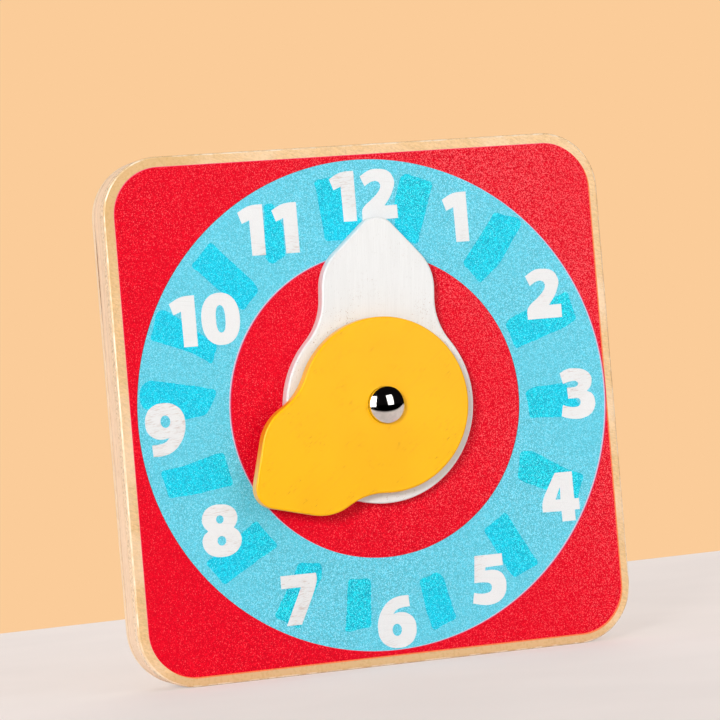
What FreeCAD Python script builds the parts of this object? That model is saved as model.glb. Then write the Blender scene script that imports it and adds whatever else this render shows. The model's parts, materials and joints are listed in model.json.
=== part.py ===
import FreeCAD, Part
import Sketcher
import math
import os
import re

# Geared teaching clock: a flat wooden case that stands on its bottom edge, with a
# printed face, two plywood hands on concentric shafts and a 12:1 train inside.
#
# World frame: +Z up, the face looks along -Y, the origin is on the middle of the
# bottom edge. Every piece is drawn in a frame of its own that lies on the face:
# x to the right, y up, z out of the face towards the person who reads the clock.

SIZES = {
    # case
    "case_width": (180.0, "outer width of the case"),
    "case_height": (180.5, "outer height of the case"),
    "case_corner": (20.0, "outer corner radius"),
    "panel_thickness": (5.0, "front panel"),
    "frame_thickness": (9.0, "frame between the panels, the depth of the cavity"),
    "back_thickness": (3.0, "back panel"),
    "frame_wall": (12.0, "width of the frame's rails"),
    "front_edge_round": (0.9, "rounding of the front panel's front edge"),
    "joint_round": (0.35, "rounding of the edges that meet at the glue lines"),
    "back_edge_round": (0.7, "rounding of the back panel's rear edge"),
    # where the hands turn
    "pivot_right": (1.2, "pivot to the right of the case's middle"),
    "pivot_height": (90.0, "pivot above the bottom edge"),
    # hands
    "hand_thickness": (4.7, "plywood of both hands"),
    "hand_edge_round": (0.8, "rounding of the hands' front edges"),
    "hand_neck_half": (20.45, "half width of both hands' arms"),
    "hand_shoulder_round": (17.0, "rounding where an arm starts to taper"),
    "hand_root_round": (22.5, "hollow rounding between hub and arm"),
    "hand_tip_round": (7.1, "rounding of the tips"),
    "minute_hub_radius": (34.0, "round end of the minute hand"),
    "minute_apex": (67.9, "where the minute hand's tapers would meet"),
    "minute_angle": (3.85, "degrees clockwise from twelve"),
    "hour_hub_radius": (30.3, "round end of the hour hand"),
    "hour_apex": (58.4, "where the hour hand's tapers would meet"),
    "hour_angle": (238.9, "degrees clockwise from twelve"),
    # levels, measured out of the face
    "face_washer_thickness": (0.2, "washer under the minute hand"),
    "hand_gap": (0.6, "space between the two hands"),
    "spacer_thickness": (0.5, "washer in that space, fixed to the hour hand"),
    "seat_depth": (1.5, "seat of the dome in the hour hand"),
    "seat_radius": (6.45, "seat of the dome in the hour hand"),
    # dome
    "dome_radius": (6.35, "half-inch dome nut"),
    "dome_skirt": (3.5, "straight part under the cap"),
    "dome_cap_radius": (9.2, "sphere of the low cap"),
    "dome_edge_round": (0.4, "round between the cap and its skirt"),
    "dome_bore_depth": (4.3, "depth of the dome nut's bore"),
    # shafts, bushes and washers
    "sleeve_radius": (4.0, "tube that carries the minute hand"),
    "sleeve_flat": (3.5, "half width across the sleeve's flats"),
    "shaft_radius": (2.5, "steel shaft of the hour hand"),
    "shaft_flat": (2.0, "half width across the shaft's flats"),
    "sleeve_inset": (0.7, "rear end of the sleeve, inside its pinion"),
    "collar_radius": (3.4, "collar of the hour shaft"),
    "spindle_radius": (2.2, "thin front end of the hour shaft"),
    "spindle_flat": (1.8, "half width across the spindle's flats"),
    "spindle_reach": (12.7, "front end of the hour shaft, inside the dome"),
    "running_gap": (0.05, "radial clearance of everything that turns"),
    "bush_radius": (6.0, "outer radius of the front bush"),
    "bush_flange_radius": (8.5, "flange of the front bush"),
    "bush_flange": (0.8, "thickness of that flange and of the post's foot"),
    "rear_bush_radius": (4.5, "outer radius of the rear bush"),
    "rear_flange_radius": (6.5, "flange of the rear bush"),
    "rear_flange": (0.6, "thickness of that flange"),
    "rear_bush_recess": (0.2, "rear bush below the back panel's surface"),
    "shaft_recess": (0.7, "rear end of the hour shaft below that surface"),
    "spring_height": (0.6, "cone spring that gives the hands their friction"),
    "spring_sheet": (0.25, "sheet thickness of that spring"),
    "spring_play": (0.02, "free space in front of and behind that spring"),
    "spring_bore": (4.3, "inner radius of that spring"),
    "spring_rim": (6.1, "outer radius of that spring"),
    "face_washer_rim": (12.0, "outer radius of the washer under the minute hand"),
    "spacer_rim": (8.0, "outer radius of the washer between the hands"),
    # gear train
    "wheel_distance": (30.0, "nominal centre distance of both stages"),
    "mesh_play": (0.2, "extra centre distance that gives the teeth their play"),
    "pinion_teeth": (12, "teeth of both pinions"),
    "idler_teeth": (36, "teeth of the intermediate wheel"),
    "hour_teeth": (48, "teeth of the hour wheel"),
    "pressure_angle": (20.0, "degrees"),
    "tooth_shift": (0.35, "profile shift, plus on pinions and minus on wheels"),
    "gear_width": (3.0, "width of the minute stage"),
    "hour_gear_width": (2.7, "width of the hour stage"),
    "stage_gap": (0.3, "space between the two stages"),
    "hex_half": (4.0, "half width across the flats of the hexagon boss"),
    "boss_collar": (4.9, "round collar between the hexagon boss and the pinion"),
    "web_hole_radius": (3.6, "round holes in the wheels' webs"),
    "idler_web_circle": (13.0, "radius of the circle that the intermediate wheel's holes lie on"),
    "hour_web_circle": (14.0, "radius of the circle that the hour wheel's holes lie on"),
    "post_radius": (2.0, "steel post of the intermediate wheel"),
    "post_root": (3.0, "depth of the post in the front panel"),
    "post_foot_radius": (5.5, "foot of the post"),
    "clip_thickness": (0.5, "retaining clips"),
    "clip_rim": (4.2, "outer radius of the retaining clips"),
    "clip_bite": (0.6, "depth of the clips' grooves"),
    "clip_mouth_half": (1.5, "half width of the clips' mouths"),
    "washer_thickness": (0.3, "thin washers inside the case"),
    "washer_play": (0.15, "washers around shafts that turn in them"),
    "post_end": (0.3, "end of the post behind its clip"),
    "end_play": (0.1, "free space beside the thin washers"),
    # back screws
    "screw_inset": (10.1, "screw centres in from the outer edges"),
    "screw_radius": (1.5, "shank of the back screws"),
    "screw_head_radius": (3.0, "countersunk head"),
    "screw_head_depth": (1.5, "countersink"),
    "screw_length": (11.0, "length with the head"),
    "screw_recess_half": (1.7, "half length of the cross recess"),
    "screw_recess_width": (0.35, "half width of the cross recess"),
    "screw_recess_depth": (0.9, "depth of the cross recess"),
    "cut_past": (1.0, "how far a milled cut runs past the outside"),
}

HEX_SIDES = 6
WEB_HOLES = 6

doc = FreeCAD.newDocument("teaching_clock")


def make_sheet():
    """The spreadsheet of driving dimensions: name, value and meaning in each row."""
    sheet = doc.addObject("Spreadsheet::Sheet", "sizes")
    for row, (alias, (value, note)) in enumerate(SIZES.items(), start=1):
        sheet.set("A%d" % row, alias)
        sheet.set("B%d" % row, str(value))
        sheet.set("C%d" % row, note)
        sheet.setAlias("B%d" % row, alias)
    doc.recompute()
    return sheet


sheet = make_sheet()
parts = []


def bound(expression):
    """The expression with the sheet named in front of each of its cells."""
    def in_full(match):
        word = match.group()
        return "sizes." + word if word in SIZES else word
    return re.sub(r"[A-Za-z_]\w*", in_full, expression)


def number(expression):
    """The present value of an expression in the sheet's names."""
    return float(sheet.evalExpression(expression))


# Levels out of the face, as expressions.
PANEL_REAR = "-panel_thickness"
CAVITY_REAR = "-panel_thickness - frame_thickness"
CASE_REAR = "-panel_thickness - frame_thickness - back_thickness"
FLANGE_REAR = "-panel_thickness - bush_flange"
STAGE_ONE_FRONT = FLANGE_REAR + " - spring_height"
STAGE_ONE_REAR = STAGE_ONE_FRONT + " - gear_width"
STAGE_TWO_FRONT = STAGE_ONE_REAR + " - stage_gap"
STAGE_TWO_REAR = STAGE_TWO_FRONT + " - hour_gear_width"
HOUR_CLIP_REAR = STAGE_TWO_REAR + " - clip_thickness"
SLEEVE_REAR = STAGE_ONE_REAR + " + sleeve_inset"
COLLAR_FRONT = SLEEVE_REAR + " - end_play"
MINUTE_REAR = "face_washer_thickness"
MINUTE_FRONT = "face_washer_thickness + hand_thickness"
HOUR_REAR = MINUTE_FRONT + " + hand_gap"
HOUR_FRONT = HOUR_REAR + " + hand_thickness"
SEAT = HOUR_FRONT + " - seat_depth"
SPACER_REAR = HOUR_REAR + " - spacer_thickness"
IDLER_DROP = "wheel_distance + mesh_play"


# Sketches and features.

def new_body(name):
    """A PartDesign body that becomes the piece of that name."""
    body = doc.addObject("PartDesign::Body", name)
    body.Label = name
    parts.append(body)
    return body


def new_sketch(body, plane, level="0"):
    """A sketch on one of the body's own origin planes, lifted to a level."""
    sketch = body.newObject("Sketcher::SketchObject", body.Name + "_sketch")
    for feature in body.Origin.OriginFeatures:
        if feature.Role == plane:
            sketch.AttachmentSupport = [(feature, "")]
    sketch.MapMode = "FlatFace"
    if level != "0":
        sketch.setExpression(".AttachmentOffset.Base.z", bound(level))
    return sketch


def pin(sketch, geometry, point, x, y):
    """Hold a point of the sketch at a place given by two expressions."""
    for kind, place in (("DistanceX", x), ("DistanceY", y)):
        index = sketch.addConstraint(
            Sketcher.Constraint(kind, -1, 1, geometry, point, number(place))
        )
        sketch.setExpression("Constraints[%d]" % index, bound(place))


def draw_circle(sketch, radius, x="0", y="0"):
    """A circle about a pinned centre."""
    centre = FreeCAD.Vector(number(x), number(y), 0)
    axis = FreeCAD.Vector(0, 0, 1)
    circle = sketch.addGeometry(Part.Circle(centre, axis, number(radius)), False)
    if (x, y) == ("0", "0"):
        sketch.addConstraint(Sketcher.Constraint("Coincident", circle, 3, -1, 1))
    else:
        pin(sketch, circle, 3, x, y)
    index = sketch.addConstraint(Sketcher.Constraint("Radius", circle, number(radius)))
    sketch.setExpression("Constraints[%d]" % index, bound(radius))


def draw_polygon(sketch, corners):
    """A closed outline of straight lines through pinned corners."""
    points = [FreeCAD.Vector(number(x), number(y), 0) for x, y in corners]
    lines = []
    for start, end in zip(points, points[1:] + points[:1]):
        lines.append(sketch.addGeometry(Part.LineSegment(start, end), False))
    for line, following in zip(lines, lines[1:] + lines[:1]):
        sketch.addConstraint(Sketcher.Constraint("Coincident", line, 2, following, 1))
    for line, (x, y) in zip(lines, corners):
        pin(sketch, line, 1, x, y)


def draw_rectangle(sketch, left, right, bottom, top):
    """A rectangle between two pinned corners."""
    draw_polygon(sketch, [(left, bottom), (right, bottom), (right, top), (left, top)])


def draw_hexagon(sketch, half):
    """A regular hexagon, given by half its width across the flats."""
    corners = []
    for side in range(HEX_SIDES):
        angle = 360.0 / HEX_SIDES * side
        reach = "%s / cos(30)" % half
        corners.append(("%s * cos(%g)" % (reach, angle), "%s * sin(%g)" % (reach, angle)))
    draw_polygon(sketch, corners)


def draw_flatted(sketch, radius, half):
    """A circle with two flats, above and below its centre."""
    reach = math.sqrt(number(radius) ** 2 - number(half) ** 2)
    start = math.asin(number(half) / number(radius))
    full = Part.Circle(FreeCAD.Vector(0, 0, 0), FreeCAD.Vector(0, 0, 1), number(radius))
    right = sketch.addGeometry(Part.ArcOfCircle(full, -start, start), False)
    left = sketch.addGeometry(Part.ArcOfCircle(full, math.pi - start, math.pi + start), False)
    high = number(half)
    top = sketch.addGeometry(
        Part.LineSegment(FreeCAD.Vector(reach, high, 0), FreeCAD.Vector(-reach, high, 0)), False
    )
    bottom = sketch.addGeometry(
        Part.LineSegment(FreeCAD.Vector(-reach, -high, 0), FreeCAD.Vector(reach, -high, 0)), False
    )
    ring = [right, top, left, bottom]
    for piece, following in zip(ring, ring[1:] + ring[:1]):
        sketch.addConstraint(Sketcher.Constraint("Coincident", piece, 2, following, 1))
    for arc in (right, left):
        sketch.addConstraint(Sketcher.Constraint("Coincident", arc, 3, -1, 1))
        index = sketch.addConstraint(Sketcher.Constraint("Radius", arc, number(radius)))
        sketch.setExpression("Constraints[%d]" % index, bound(radius))
    for line, side in ((top, ""), (bottom, "-")):
        sketch.addConstraint(Sketcher.Constraint("Horizontal", line))
        height = "%s(%s)" % (side, half)
        index = sketch.addConstraint(
            Sketcher.Constraint("DistanceY", -1, 1, line, 1, number(height))
        )
        sketch.setExpression("Constraints[%d]" % index, bound(height))


def add_slab(body, low, high, draw, *values):
    """Pad an outline upwards from one level to another."""
    sketch = new_sketch(body, "XY_Plane", low)
    draw(sketch, *values)
    pad = body.newObject("PartDesign::Pad", body.Name + "_pad")
    pad.Profile = sketch
    pad.setExpression("Length", bound("(%s) - (%s)" % (high, low)))
    doc.recompute()
    return pad


def cut_slab(body, low, high, draw, *values):
    """Pocket an outline downwards from the high level to the low one."""
    before = body.Shape.Volume
    sketch = new_sketch(body, "XY_Plane", high)
    draw(sketch, *values)
    pocket = body.newObject("PartDesign::Pocket", body.Name + "_pocket")
    pocket.Profile = sketch
    pocket.setExpression("Length", bound("(%s) - (%s)" % (high, low)))
    doc.recompute()
    if not body.Shape.Volume < before - 1e-6:
        raise RuntimeError("a pocket of %s cuts nothing" % body.Label)
    return pocket


def turn_profile(body, corners):
    """Revolve a profile of (radius, level) corners about the body's z axis."""
    sketch = new_sketch(body, "XZ_Plane")
    draw_polygon(sketch, corners)
    return revolve(body, sketch)


def revolve(body, sketch):
    """Revolve a sketch of the XZ plane about the body's z axis."""
    revolution = body.newObject("PartDesign::Revolution", body.Name + "_revolution")
    revolution.Profile = sketch
    revolution.ReferenceAxis = (sketch, ["V_Axis"])
    revolution.Angle = 360.0
    doc.recompute()
    return revolution


def ring_profile(bore, rim, low, high):
    """The corners of a plain ring."""
    return [(bore, low), (rim, low), (rim, high), (bore, high)]


def round_edges(body, radius, chosen):
    """Fillet the edges of the body that a test chooses."""
    base = body.Tip
    names = []
    for index, edge in enumerate(base.Shape.Edges, start=1):
        if chosen(edge):
            names.append("Edge%d" % index)
    fillet = body.newObject("PartDesign::Fillet", body.Name + "_fillet")
    fillet.Base = (base, names)
    fillet.setExpression("Radius", bound(radius))
    doc.recompute()
    return fillet


def is_upright(edge):
    """A straight edge square to the face."""
    if not isinstance(edge.Curve, Part.Line):
        return False
    start, end = (vertex.Point for vertex in edge.Vertexes)
    return math.hypot(end.x - start.x, end.y - start.y) < 1e-6


def middle(edge):
    """The edge's middle point."""
    return edge.valueAt((edge.FirstParameter + edge.LastParameter) / 2)


def upright_near(x, y):
    """A test for the upright edge at a place, or its mirror image across the y axis."""
    def chosen(edge):
        point = middle(edge)
        return is_upright(edge) and abs(abs(point.x) - x) < 0.05 and abs(point.y - y) < 0.05
    return chosen


def rim_at(level, inner):
    """A test for the outer edges at one level, further out than a radius."""
    def chosen(edge):
        low, high = edge.BoundBox.ZMin, edge.BoundBox.ZMax
        point = middle(edge)
        flat = abs(low - level) < 1e-6 and abs(high - level) < 1e-6
        return flat and math.hypot(point.x, point.y) > inner
    return chosen


# Placements.

def face_frame(right, height):
    """The frame on the face whose origin is that far right and that high."""
    face = -number("(panel_thickness + frame_thickness + back_thickness) / 2")
    upright = FreeCAD.Rotation(FreeCAD.Vector(1, 0, 0), 90)
    return FreeCAD.Placement(FreeCAD.Vector(right, face, height), upright)


def turned(angle):
    """A turn about the z axis of the face's frame, anticlockwise as it is read."""
    return FreeCAD.Placement(
        FreeCAD.Vector(0, 0, 0), FreeCAD.Rotation(FreeCAD.Vector(0, 0, 1), angle)
    )


CASE_FRAME = face_frame(0.0, number("case_height / 2"))
DIAL_FRAME = face_frame(number("pivot_right"), number("pivot_height"))
IDLER_FRAME = face_frame(number("pivot_right"), number("pivot_height - (%s)" % IDLER_DROP))
MINUTE_FRAME = DIAL_FRAME * turned(-number("minute_angle"))
HOUR_FRAME = DIAL_FRAME * turned(-number("hour_angle"))
PIVOT_X = "pivot_right"
PIVOT_Y = "pivot_height - case_height / 2"


# Case.

def case_slab(body, low, high):
    """A slab with the case's outline and rounded corners."""
    half_width, half_height = "case_width / 2", "case_height / 2"
    add_slab(
        body, low, high, draw_rectangle,
        "-" + half_width, half_width, "-" + half_height, half_height
    )
    round_edges(body, "case_corner", is_upright)


def outer_edges(level):
    """A test for the case's outline at one level."""
    return rim_at(number(level), number("case_width / 2 - case_corner / 2"))


def make_front_panel():
    """Plywood panel with the printed face, the bush's hole and the post's blind hole."""
    body = new_body("front_panel")
    case_slab(body, PANEL_REAR, "0")
    round_edges(body, "front_edge_round", outer_edges("0"))
    round_edges(body, "joint_round", outer_edges(PANEL_REAR))
    cut_slab(body, PANEL_REAR, "0", draw_circle, "bush_radius", PIVOT_X, PIVOT_Y)
    post_y = "%s - (%s)" % (PIVOT_Y, IDLER_DROP)
    root = "%s + post_root" % PANEL_REAR
    cut_slab(body, PANEL_REAR, root, draw_circle, "post_radius", PIVOT_X, post_y)
    body.Placement = CASE_FRAME


def screw_places():
    """The four screws' centres in the case's frame."""
    x, y = "case_width / 2 - screw_inset", "case_height / 2 - screw_inset"
    return [(x, y), ("-(%s)" % x, y), ("-(%s)" % x, "-(%s)" % y), (x, "-(%s)" % y)]


def make_spacer_frame():
    """Frame between the panels: it makes the cavity for the wheels."""
    body = new_body("spacer_frame")
    case_slab(body, CAVITY_REAR, PANEL_REAR)
    half_width, half_height = "case_width / 2 - frame_wall", "case_height / 2 - frame_wall"
    cut_slab(
        body, CAVITY_REAR, PANEL_REAR, draw_rectangle,
        "-(%s)" % half_width, half_width, "-(%s)" % half_height, half_height
    )
    for sign_x in (-1, 1):
        for sign_y in (-1, 1):
            corner = (sign_x * number(half_width), sign_y * number(half_height))
            round_edges(body, "case_corner - frame_wall", inner_corner(corner))
    for level in (PANEL_REAR, CAVITY_REAR):
        round_edges(body, "joint_round", outer_edges(level))
    depth = "screw_length - back_thickness"
    for x, y in screw_places():
        cut_slab(
            body, CAVITY_REAR, "%s + %s" % (CAVITY_REAR, depth),
            draw_circle, "screw_radius", x, y
        )
    body.Placement = CASE_FRAME


def inner_corner(corner):
    """A test for the upright edge at one corner of the opening."""
    def chosen(edge):
        point = middle(edge)
        return is_upright(edge) and math.hypot(point.x - corner[0], point.y - corner[1]) < 0.05
    return chosen


def make_back_panel():
    """Thin plywood back with the rear bush's hole and four countersunk holes."""
    body = new_body("back_panel")
    case_slab(body, CASE_REAR, CAVITY_REAR)
    round_edges(body, "back_edge_round", outer_edges(CASE_REAR))
    round_edges(body, "joint_round", outer_edges(CAVITY_REAR))
    cut_slab(body, CASE_REAR, CAVITY_REAR, draw_circle, "rear_bush_radius", PIVOT_X, PIVOT_Y)
    sketch = new_sketch(body, "XY_Plane", CASE_REAR)
    for x, y in screw_places():
        draw_circle(sketch, "screw_radius", x, y)
    hole = body.newObject("PartDesign::Hole", "back_panel_screw_holes")
    hole.Profile = sketch
    hole.Reversed = True
    doc.recompute()
    hole.DepthType = "ThroughAll"
    hole.HoleCutType = "Countersink"
    hole.HoleCutCustomValues = True
    hole.HoleCutCountersinkAngle = 90.0
    hole.setExpression("Diameter", bound("2 * screw_radius"))
    hole.setExpression("HoleCutDiameter", bound("2 * screw_head_radius"))
    doc.recompute()
    body.Placement = CASE_FRAME


def make_back_screws():
    """Four countersunk wood screws through the back panel into the frame."""
    body = new_body("back_screws")
    body.AllowCompound = True
    x, y = screw_places()[0]
    tip = "%s + screw_length" % CASE_REAR
    point = "%s - screw_radius" % tip
    neck = "%s + screw_head_depth" % CASE_REAR
    sketch = new_sketch(body, "XZ_Plane")
    sketch.setExpression(".AttachmentOffset.Base.x", bound(x))
    sketch.setExpression(".AttachmentOffset.Base.z", bound("-(%s)" % y))
    draw_polygon(sketch, [
        ("0", CASE_REAR), ("screw_head_radius", CASE_REAR), ("screw_radius", neck),
        ("screw_radius", point), ("0", tip),
    ])
    features = [revolve(body, sketch)]
    half, width = "screw_recess_half", "screw_recess_width"
    low, high = CASE_REAR, "%s + screw_recess_depth" % CASE_REAR
    for reach_x, reach_y in ((half, width), (width, half)):
        features.append(cut_slab(
            body, low, high, draw_rectangle,
            "%s - %s" % (x, reach_x), "%s + %s" % (x, reach_x),
            "%s - %s" % (y, reach_y), "%s + %s" % (y, reach_y),
        ))
    four = body.newObject("PartDesign::MultiTransform", "back_screws_four")
    four.Originals = features
    mirrors = []
    for feature in body.Origin.OriginFeatures:
        if feature.Role in ("YZ_Plane", "XZ_Plane"):
            mirror = body.newObject("PartDesign::Mirrored", "back_screws_mirror")
            mirror.MirrorPlane = (feature, [""])
            mirrors.append(mirror)
    four.Transformations = mirrors
    body.Tip = four
    doc.recompute()
    body.Placement = CASE_FRAME


# Turned pieces at the pivot.

def make_ring(name, bore, rim, low, high, frame):
    """A washer or plain bush."""
    body = new_body(name)
    turn_profile(body, ring_profile(bore, rim, low, high))
    body.Placement = frame
    return body


def make_front_bush():
    """Flanged bush in the front panel, the bearing of the minute sleeve."""
    body = new_body("front_bush")
    bore = "sleeve_radius + running_gap"
    turn_profile(body, [
        (bore, FLANGE_REAR), ("bush_flange_radius", FLANGE_REAR),
        ("bush_flange_radius", PANEL_REAR), ("bush_radius", PANEL_REAR),
        ("bush_radius", "0"), (bore, "0"),
    ])
    body.Placement = DIAL_FRAME


def make_rear_bush():
    """Flanged bush in the back panel, the rear bearing of the hour shaft."""
    body = new_body("rear_bush")
    bore = "shaft_radius + running_gap"
    front = "%s + rear_flange" % CAVITY_REAR
    rear = "%s + rear_bush_recess" % CASE_REAR
    turn_profile(body, [
        (bore, rear), ("rear_bush_radius", rear), ("rear_bush_radius", CAVITY_REAR),
        ("rear_flange_radius", CAVITY_REAR), ("rear_flange_radius", front), (bore, front),
    ])
    body.Placement = DIAL_FRAME


def make_friction_spring():
    """Cone spring between the bush's flange and the minute pinion."""
    body = new_body("friction_spring")
    front = FLANGE_REAR + " - spring_play"
    rear = STAGE_ONE_FRONT + " + spring_play"
    turn_profile(body, [
        ("spring_bore", rear), ("spring_rim", "%s - spring_sheet" % front),
        ("spring_rim", front), ("spring_bore", "%s + spring_sheet" % rear),
    ])
    body.Placement = DIAL_FRAME


def make_minute_sleeve():
    """Tube with two flats at each end, for the minute hand and for its pinion."""
    body = new_body("minute_sleeve")
    add_slab(body, STAGE_ONE_FRONT, MINUTE_REAR, draw_circle, "sleeve_radius")
    add_slab(body, MINUTE_REAR, MINUTE_FRONT, draw_flatted, "sleeve_radius", "sleeve_flat")
    add_slab(body, SLEEVE_REAR, STAGE_ONE_FRONT, draw_flatted, "sleeve_radius", "sleeve_flat")
    cut_slab(body, SLEEVE_REAR, MINUTE_FRONT, draw_circle, "shaft_radius + running_gap")
    body.Placement = MINUTE_FRAME


def cut_flats(body, half, radius, low, high):
    """Mill two flats on a round shaft between two levels."""
    outside = "%s + cut_past" % radius
    sides = ((half, outside), ("-(%s)" % outside, "-(%s)" % half))
    for bottom, top in sides:
        cut_slab(
            body, low, high, draw_rectangle,
            "-(%s)" % outside, outside, bottom, top
        )


def make_hour_shaft():
    """Steel shaft: bearing at the rear, collar and wheel seat, hand seat and thin end."""
    body = new_body("hour_shaft")
    rear = "%s + shaft_recess" % CASE_REAR
    groove = "shaft_radius - clip_bite"
    turn_profile(body, [
        ("0", rear), ("shaft_radius", rear), ("shaft_radius", HOUR_CLIP_REAR),
        (groove, HOUR_CLIP_REAR), (groove, STAGE_TWO_REAR), ("shaft_radius", STAGE_TWO_REAR),
        ("shaft_radius", STAGE_TWO_FRONT), ("collar_radius", STAGE_TWO_FRONT),
        ("collar_radius", COLLAR_FRONT), ("shaft_radius", COLLAR_FRONT),
        ("shaft_radius", SPACER_REAR), ("spindle_radius", SPACER_REAR),
        ("spindle_radius", "spindle_reach"), ("0", "spindle_reach"),
    ])
    cut_flats(body, "shaft_flat", "shaft_radius", STAGE_TWO_REAR, STAGE_TWO_FRONT)
    cut_flats(body, "spindle_flat", "spindle_radius", HOUR_REAR, SEAT)
    body.Placement = HOUR_FRAME


def make_clip(name, radius, low, high, frame):
    """Retaining clip: a ring in a groove with a mouth on one side."""
    body = new_body(name)
    groove = "%s - clip_bite" % radius
    turn_profile(body, ring_profile(groove, "clip_rim", low, high))
    cut_slab(
        body, low, high, draw_rectangle,
        "0", "clip_rim + cut_past", "-clip_mouth_half", "clip_mouth_half"
    )
    body.Placement = frame


def make_intermediate_post():
    """Steel post in the front panel, with a foot and a clip groove."""
    body = new_body("intermediate_post")
    clip_front, clip_rear, end = post_levels()
    groove = "post_radius - clip_bite"
    root = "%s + post_root" % PANEL_REAR
    turn_profile(body, [
        ("0", end), ("post_radius", end), ("post_radius", clip_rear),
        (groove, clip_rear), (groove, clip_front), ("post_radius", clip_front),
        ("post_radius", FLANGE_REAR), ("post_foot_radius", FLANGE_REAR),
        ("post_foot_radius", PANEL_REAR), ("post_radius", PANEL_REAR),
        ("post_radius", root), ("0", root),
    ])
    body.Placement = IDLER_FRAME


def post_levels():
    """Front and rear of the post's clip, and the post's free end."""
    clip_front = "%s - washer_thickness - end_play" % STAGE_TWO_REAR
    clip_rear = "%s - clip_thickness" % clip_front
    return clip_front, clip_rear, "%s - post_end" % clip_rear


def make_dome_nut():
    """Polished nut that holds the hour hand on its shaft: a low cap on a straight skirt."""
    body = new_body("dome_nut")
    rim = "%s + dome_skirt" % SEAT
    centre = "%s - sqrt(dome_cap_radius ^ 2 - dome_radius ^ 2)" % rim
    low, high, cap_centre = number(SEAT), number(rim), number(centre)
    radius, cap_radius = number("dome_radius"), number("dome_cap_radius")
    sketch = new_sketch(body, "XZ_Plane")
    corners = [(0, low), (radius, low), (radius, high)]
    base, side = [
        sketch.addGeometry(Part.LineSegment(FreeCAD.Vector(*start, 0), FreeCAD.Vector(*end, 0)))
        for start, end in zip(corners, corners[1:])
    ]
    full = Part.Circle(
        FreeCAD.Vector(0, cap_centre, 0), FreeCAD.Vector(0, 0, 1), cap_radius
    )
    rim_angle = math.acos(radius / cap_radius)
    cap = sketch.addGeometry(Part.ArcOfCircle(full, rim_angle, math.pi / 2))
    top = FreeCAD.Vector(0, cap_centre + cap_radius, 0)
    axis = sketch.addGeometry(Part.LineSegment(top, FreeCAD.Vector(0, low, 0)))
    ring = [base, side, cap, axis]
    for piece, following in zip(ring, ring[1:] + ring[:1]):
        sketch.addConstraint(Sketcher.Constraint("Coincident", piece, 2, following, 1))
    sketch.addConstraint(Sketcher.Constraint("Vertical", side))
    sketch.addConstraint(Sketcher.Constraint("Vertical", axis))
    index = sketch.addConstraint(Sketcher.Constraint("Radius", cap, cap_radius))
    sketch.setExpression("Constraints[%d]" % index, bound("dome_cap_radius"))
    pin(sketch, cap, 3, "0", centre)
    pin(sketch, base, 1, "0", SEAT)
    pin(sketch, base, 2, "dome_radius", SEAT)
    revolve(body, sketch)
    round_edges(body, "dome_edge_round", rim_at(number(rim), 0.0))
    bore_end = "%s + dome_bore_depth" % SEAT
    cut_slab(body, SEAT, bore_end, draw_circle, "spindle_radius")
    body.Placement = DIAL_FRAME


# Hands.

def make_hand(name, hub, apex, low, high, frame):
    """Plywood hand: a round hub and an arm that tapers at right angles to a blunt tip."""
    body = new_body(name)
    neck = "hand_neck_half"
    shoulder = "%s - %s" % (apex, neck)
    add_slab(body, low, high, draw_circle, hub)
    add_slab(body, low, high, draw_polygon, [
        ("-" + neck, "0"), (neck, "0"), (neck, shoulder), ("0", apex), ("-" + neck, shoulder),
    ])
    root = math.sqrt(number(hub) ** 2 - number(neck) ** 2)
    round_edges(body, "hand_tip_round", upright_near(0.0, number(apex)))
    round_edges(body, "hand_shoulder_round", upright_near(number(neck), number(shoulder)))
    round_edges(body, "hand_root_round", upright_near(number(neck), root))
    round_edges(body, "hand_edge_round", rim_at(number(high), 0.0))
    body.Placement = frame
    return body


def make_minute_hand():
    """The hand behind, keyed to the sleeve by two flats."""
    body = make_hand(
        "minute_hand", "minute_hub_radius", "minute_apex", MINUTE_REAR, MINUTE_FRONT, MINUTE_FRAME
    )
    cut_slab(body, MINUTE_REAR, MINUTE_FRONT, draw_flatted, "sleeve_radius", "sleeve_flat")


def make_hour_hand():
    """The hand in front, keyed to the hour shaft, with a seat for the dome nut."""
    body = make_hand(
        "hour_hand", "hour_hub_radius", "hour_apex", HOUR_REAR, HOUR_FRONT, HOUR_FRAME
    )
    cut_slab(body, HOUR_REAR, HOUR_FRONT, draw_flatted, "spindle_radius", "spindle_flat")
    cut_slab(body, SEAT, HOUR_FRONT, draw_circle, "seat_radius")


# Gears. An involute outline fits neither sketch constraints nor primitives, so the
# toothed pieces are shapes worked out from the sheet's values.

def polar(radius, angle):
    return FreeCAD.Vector(radius * math.cos(angle), radius * math.sin(angle), 0)


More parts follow.
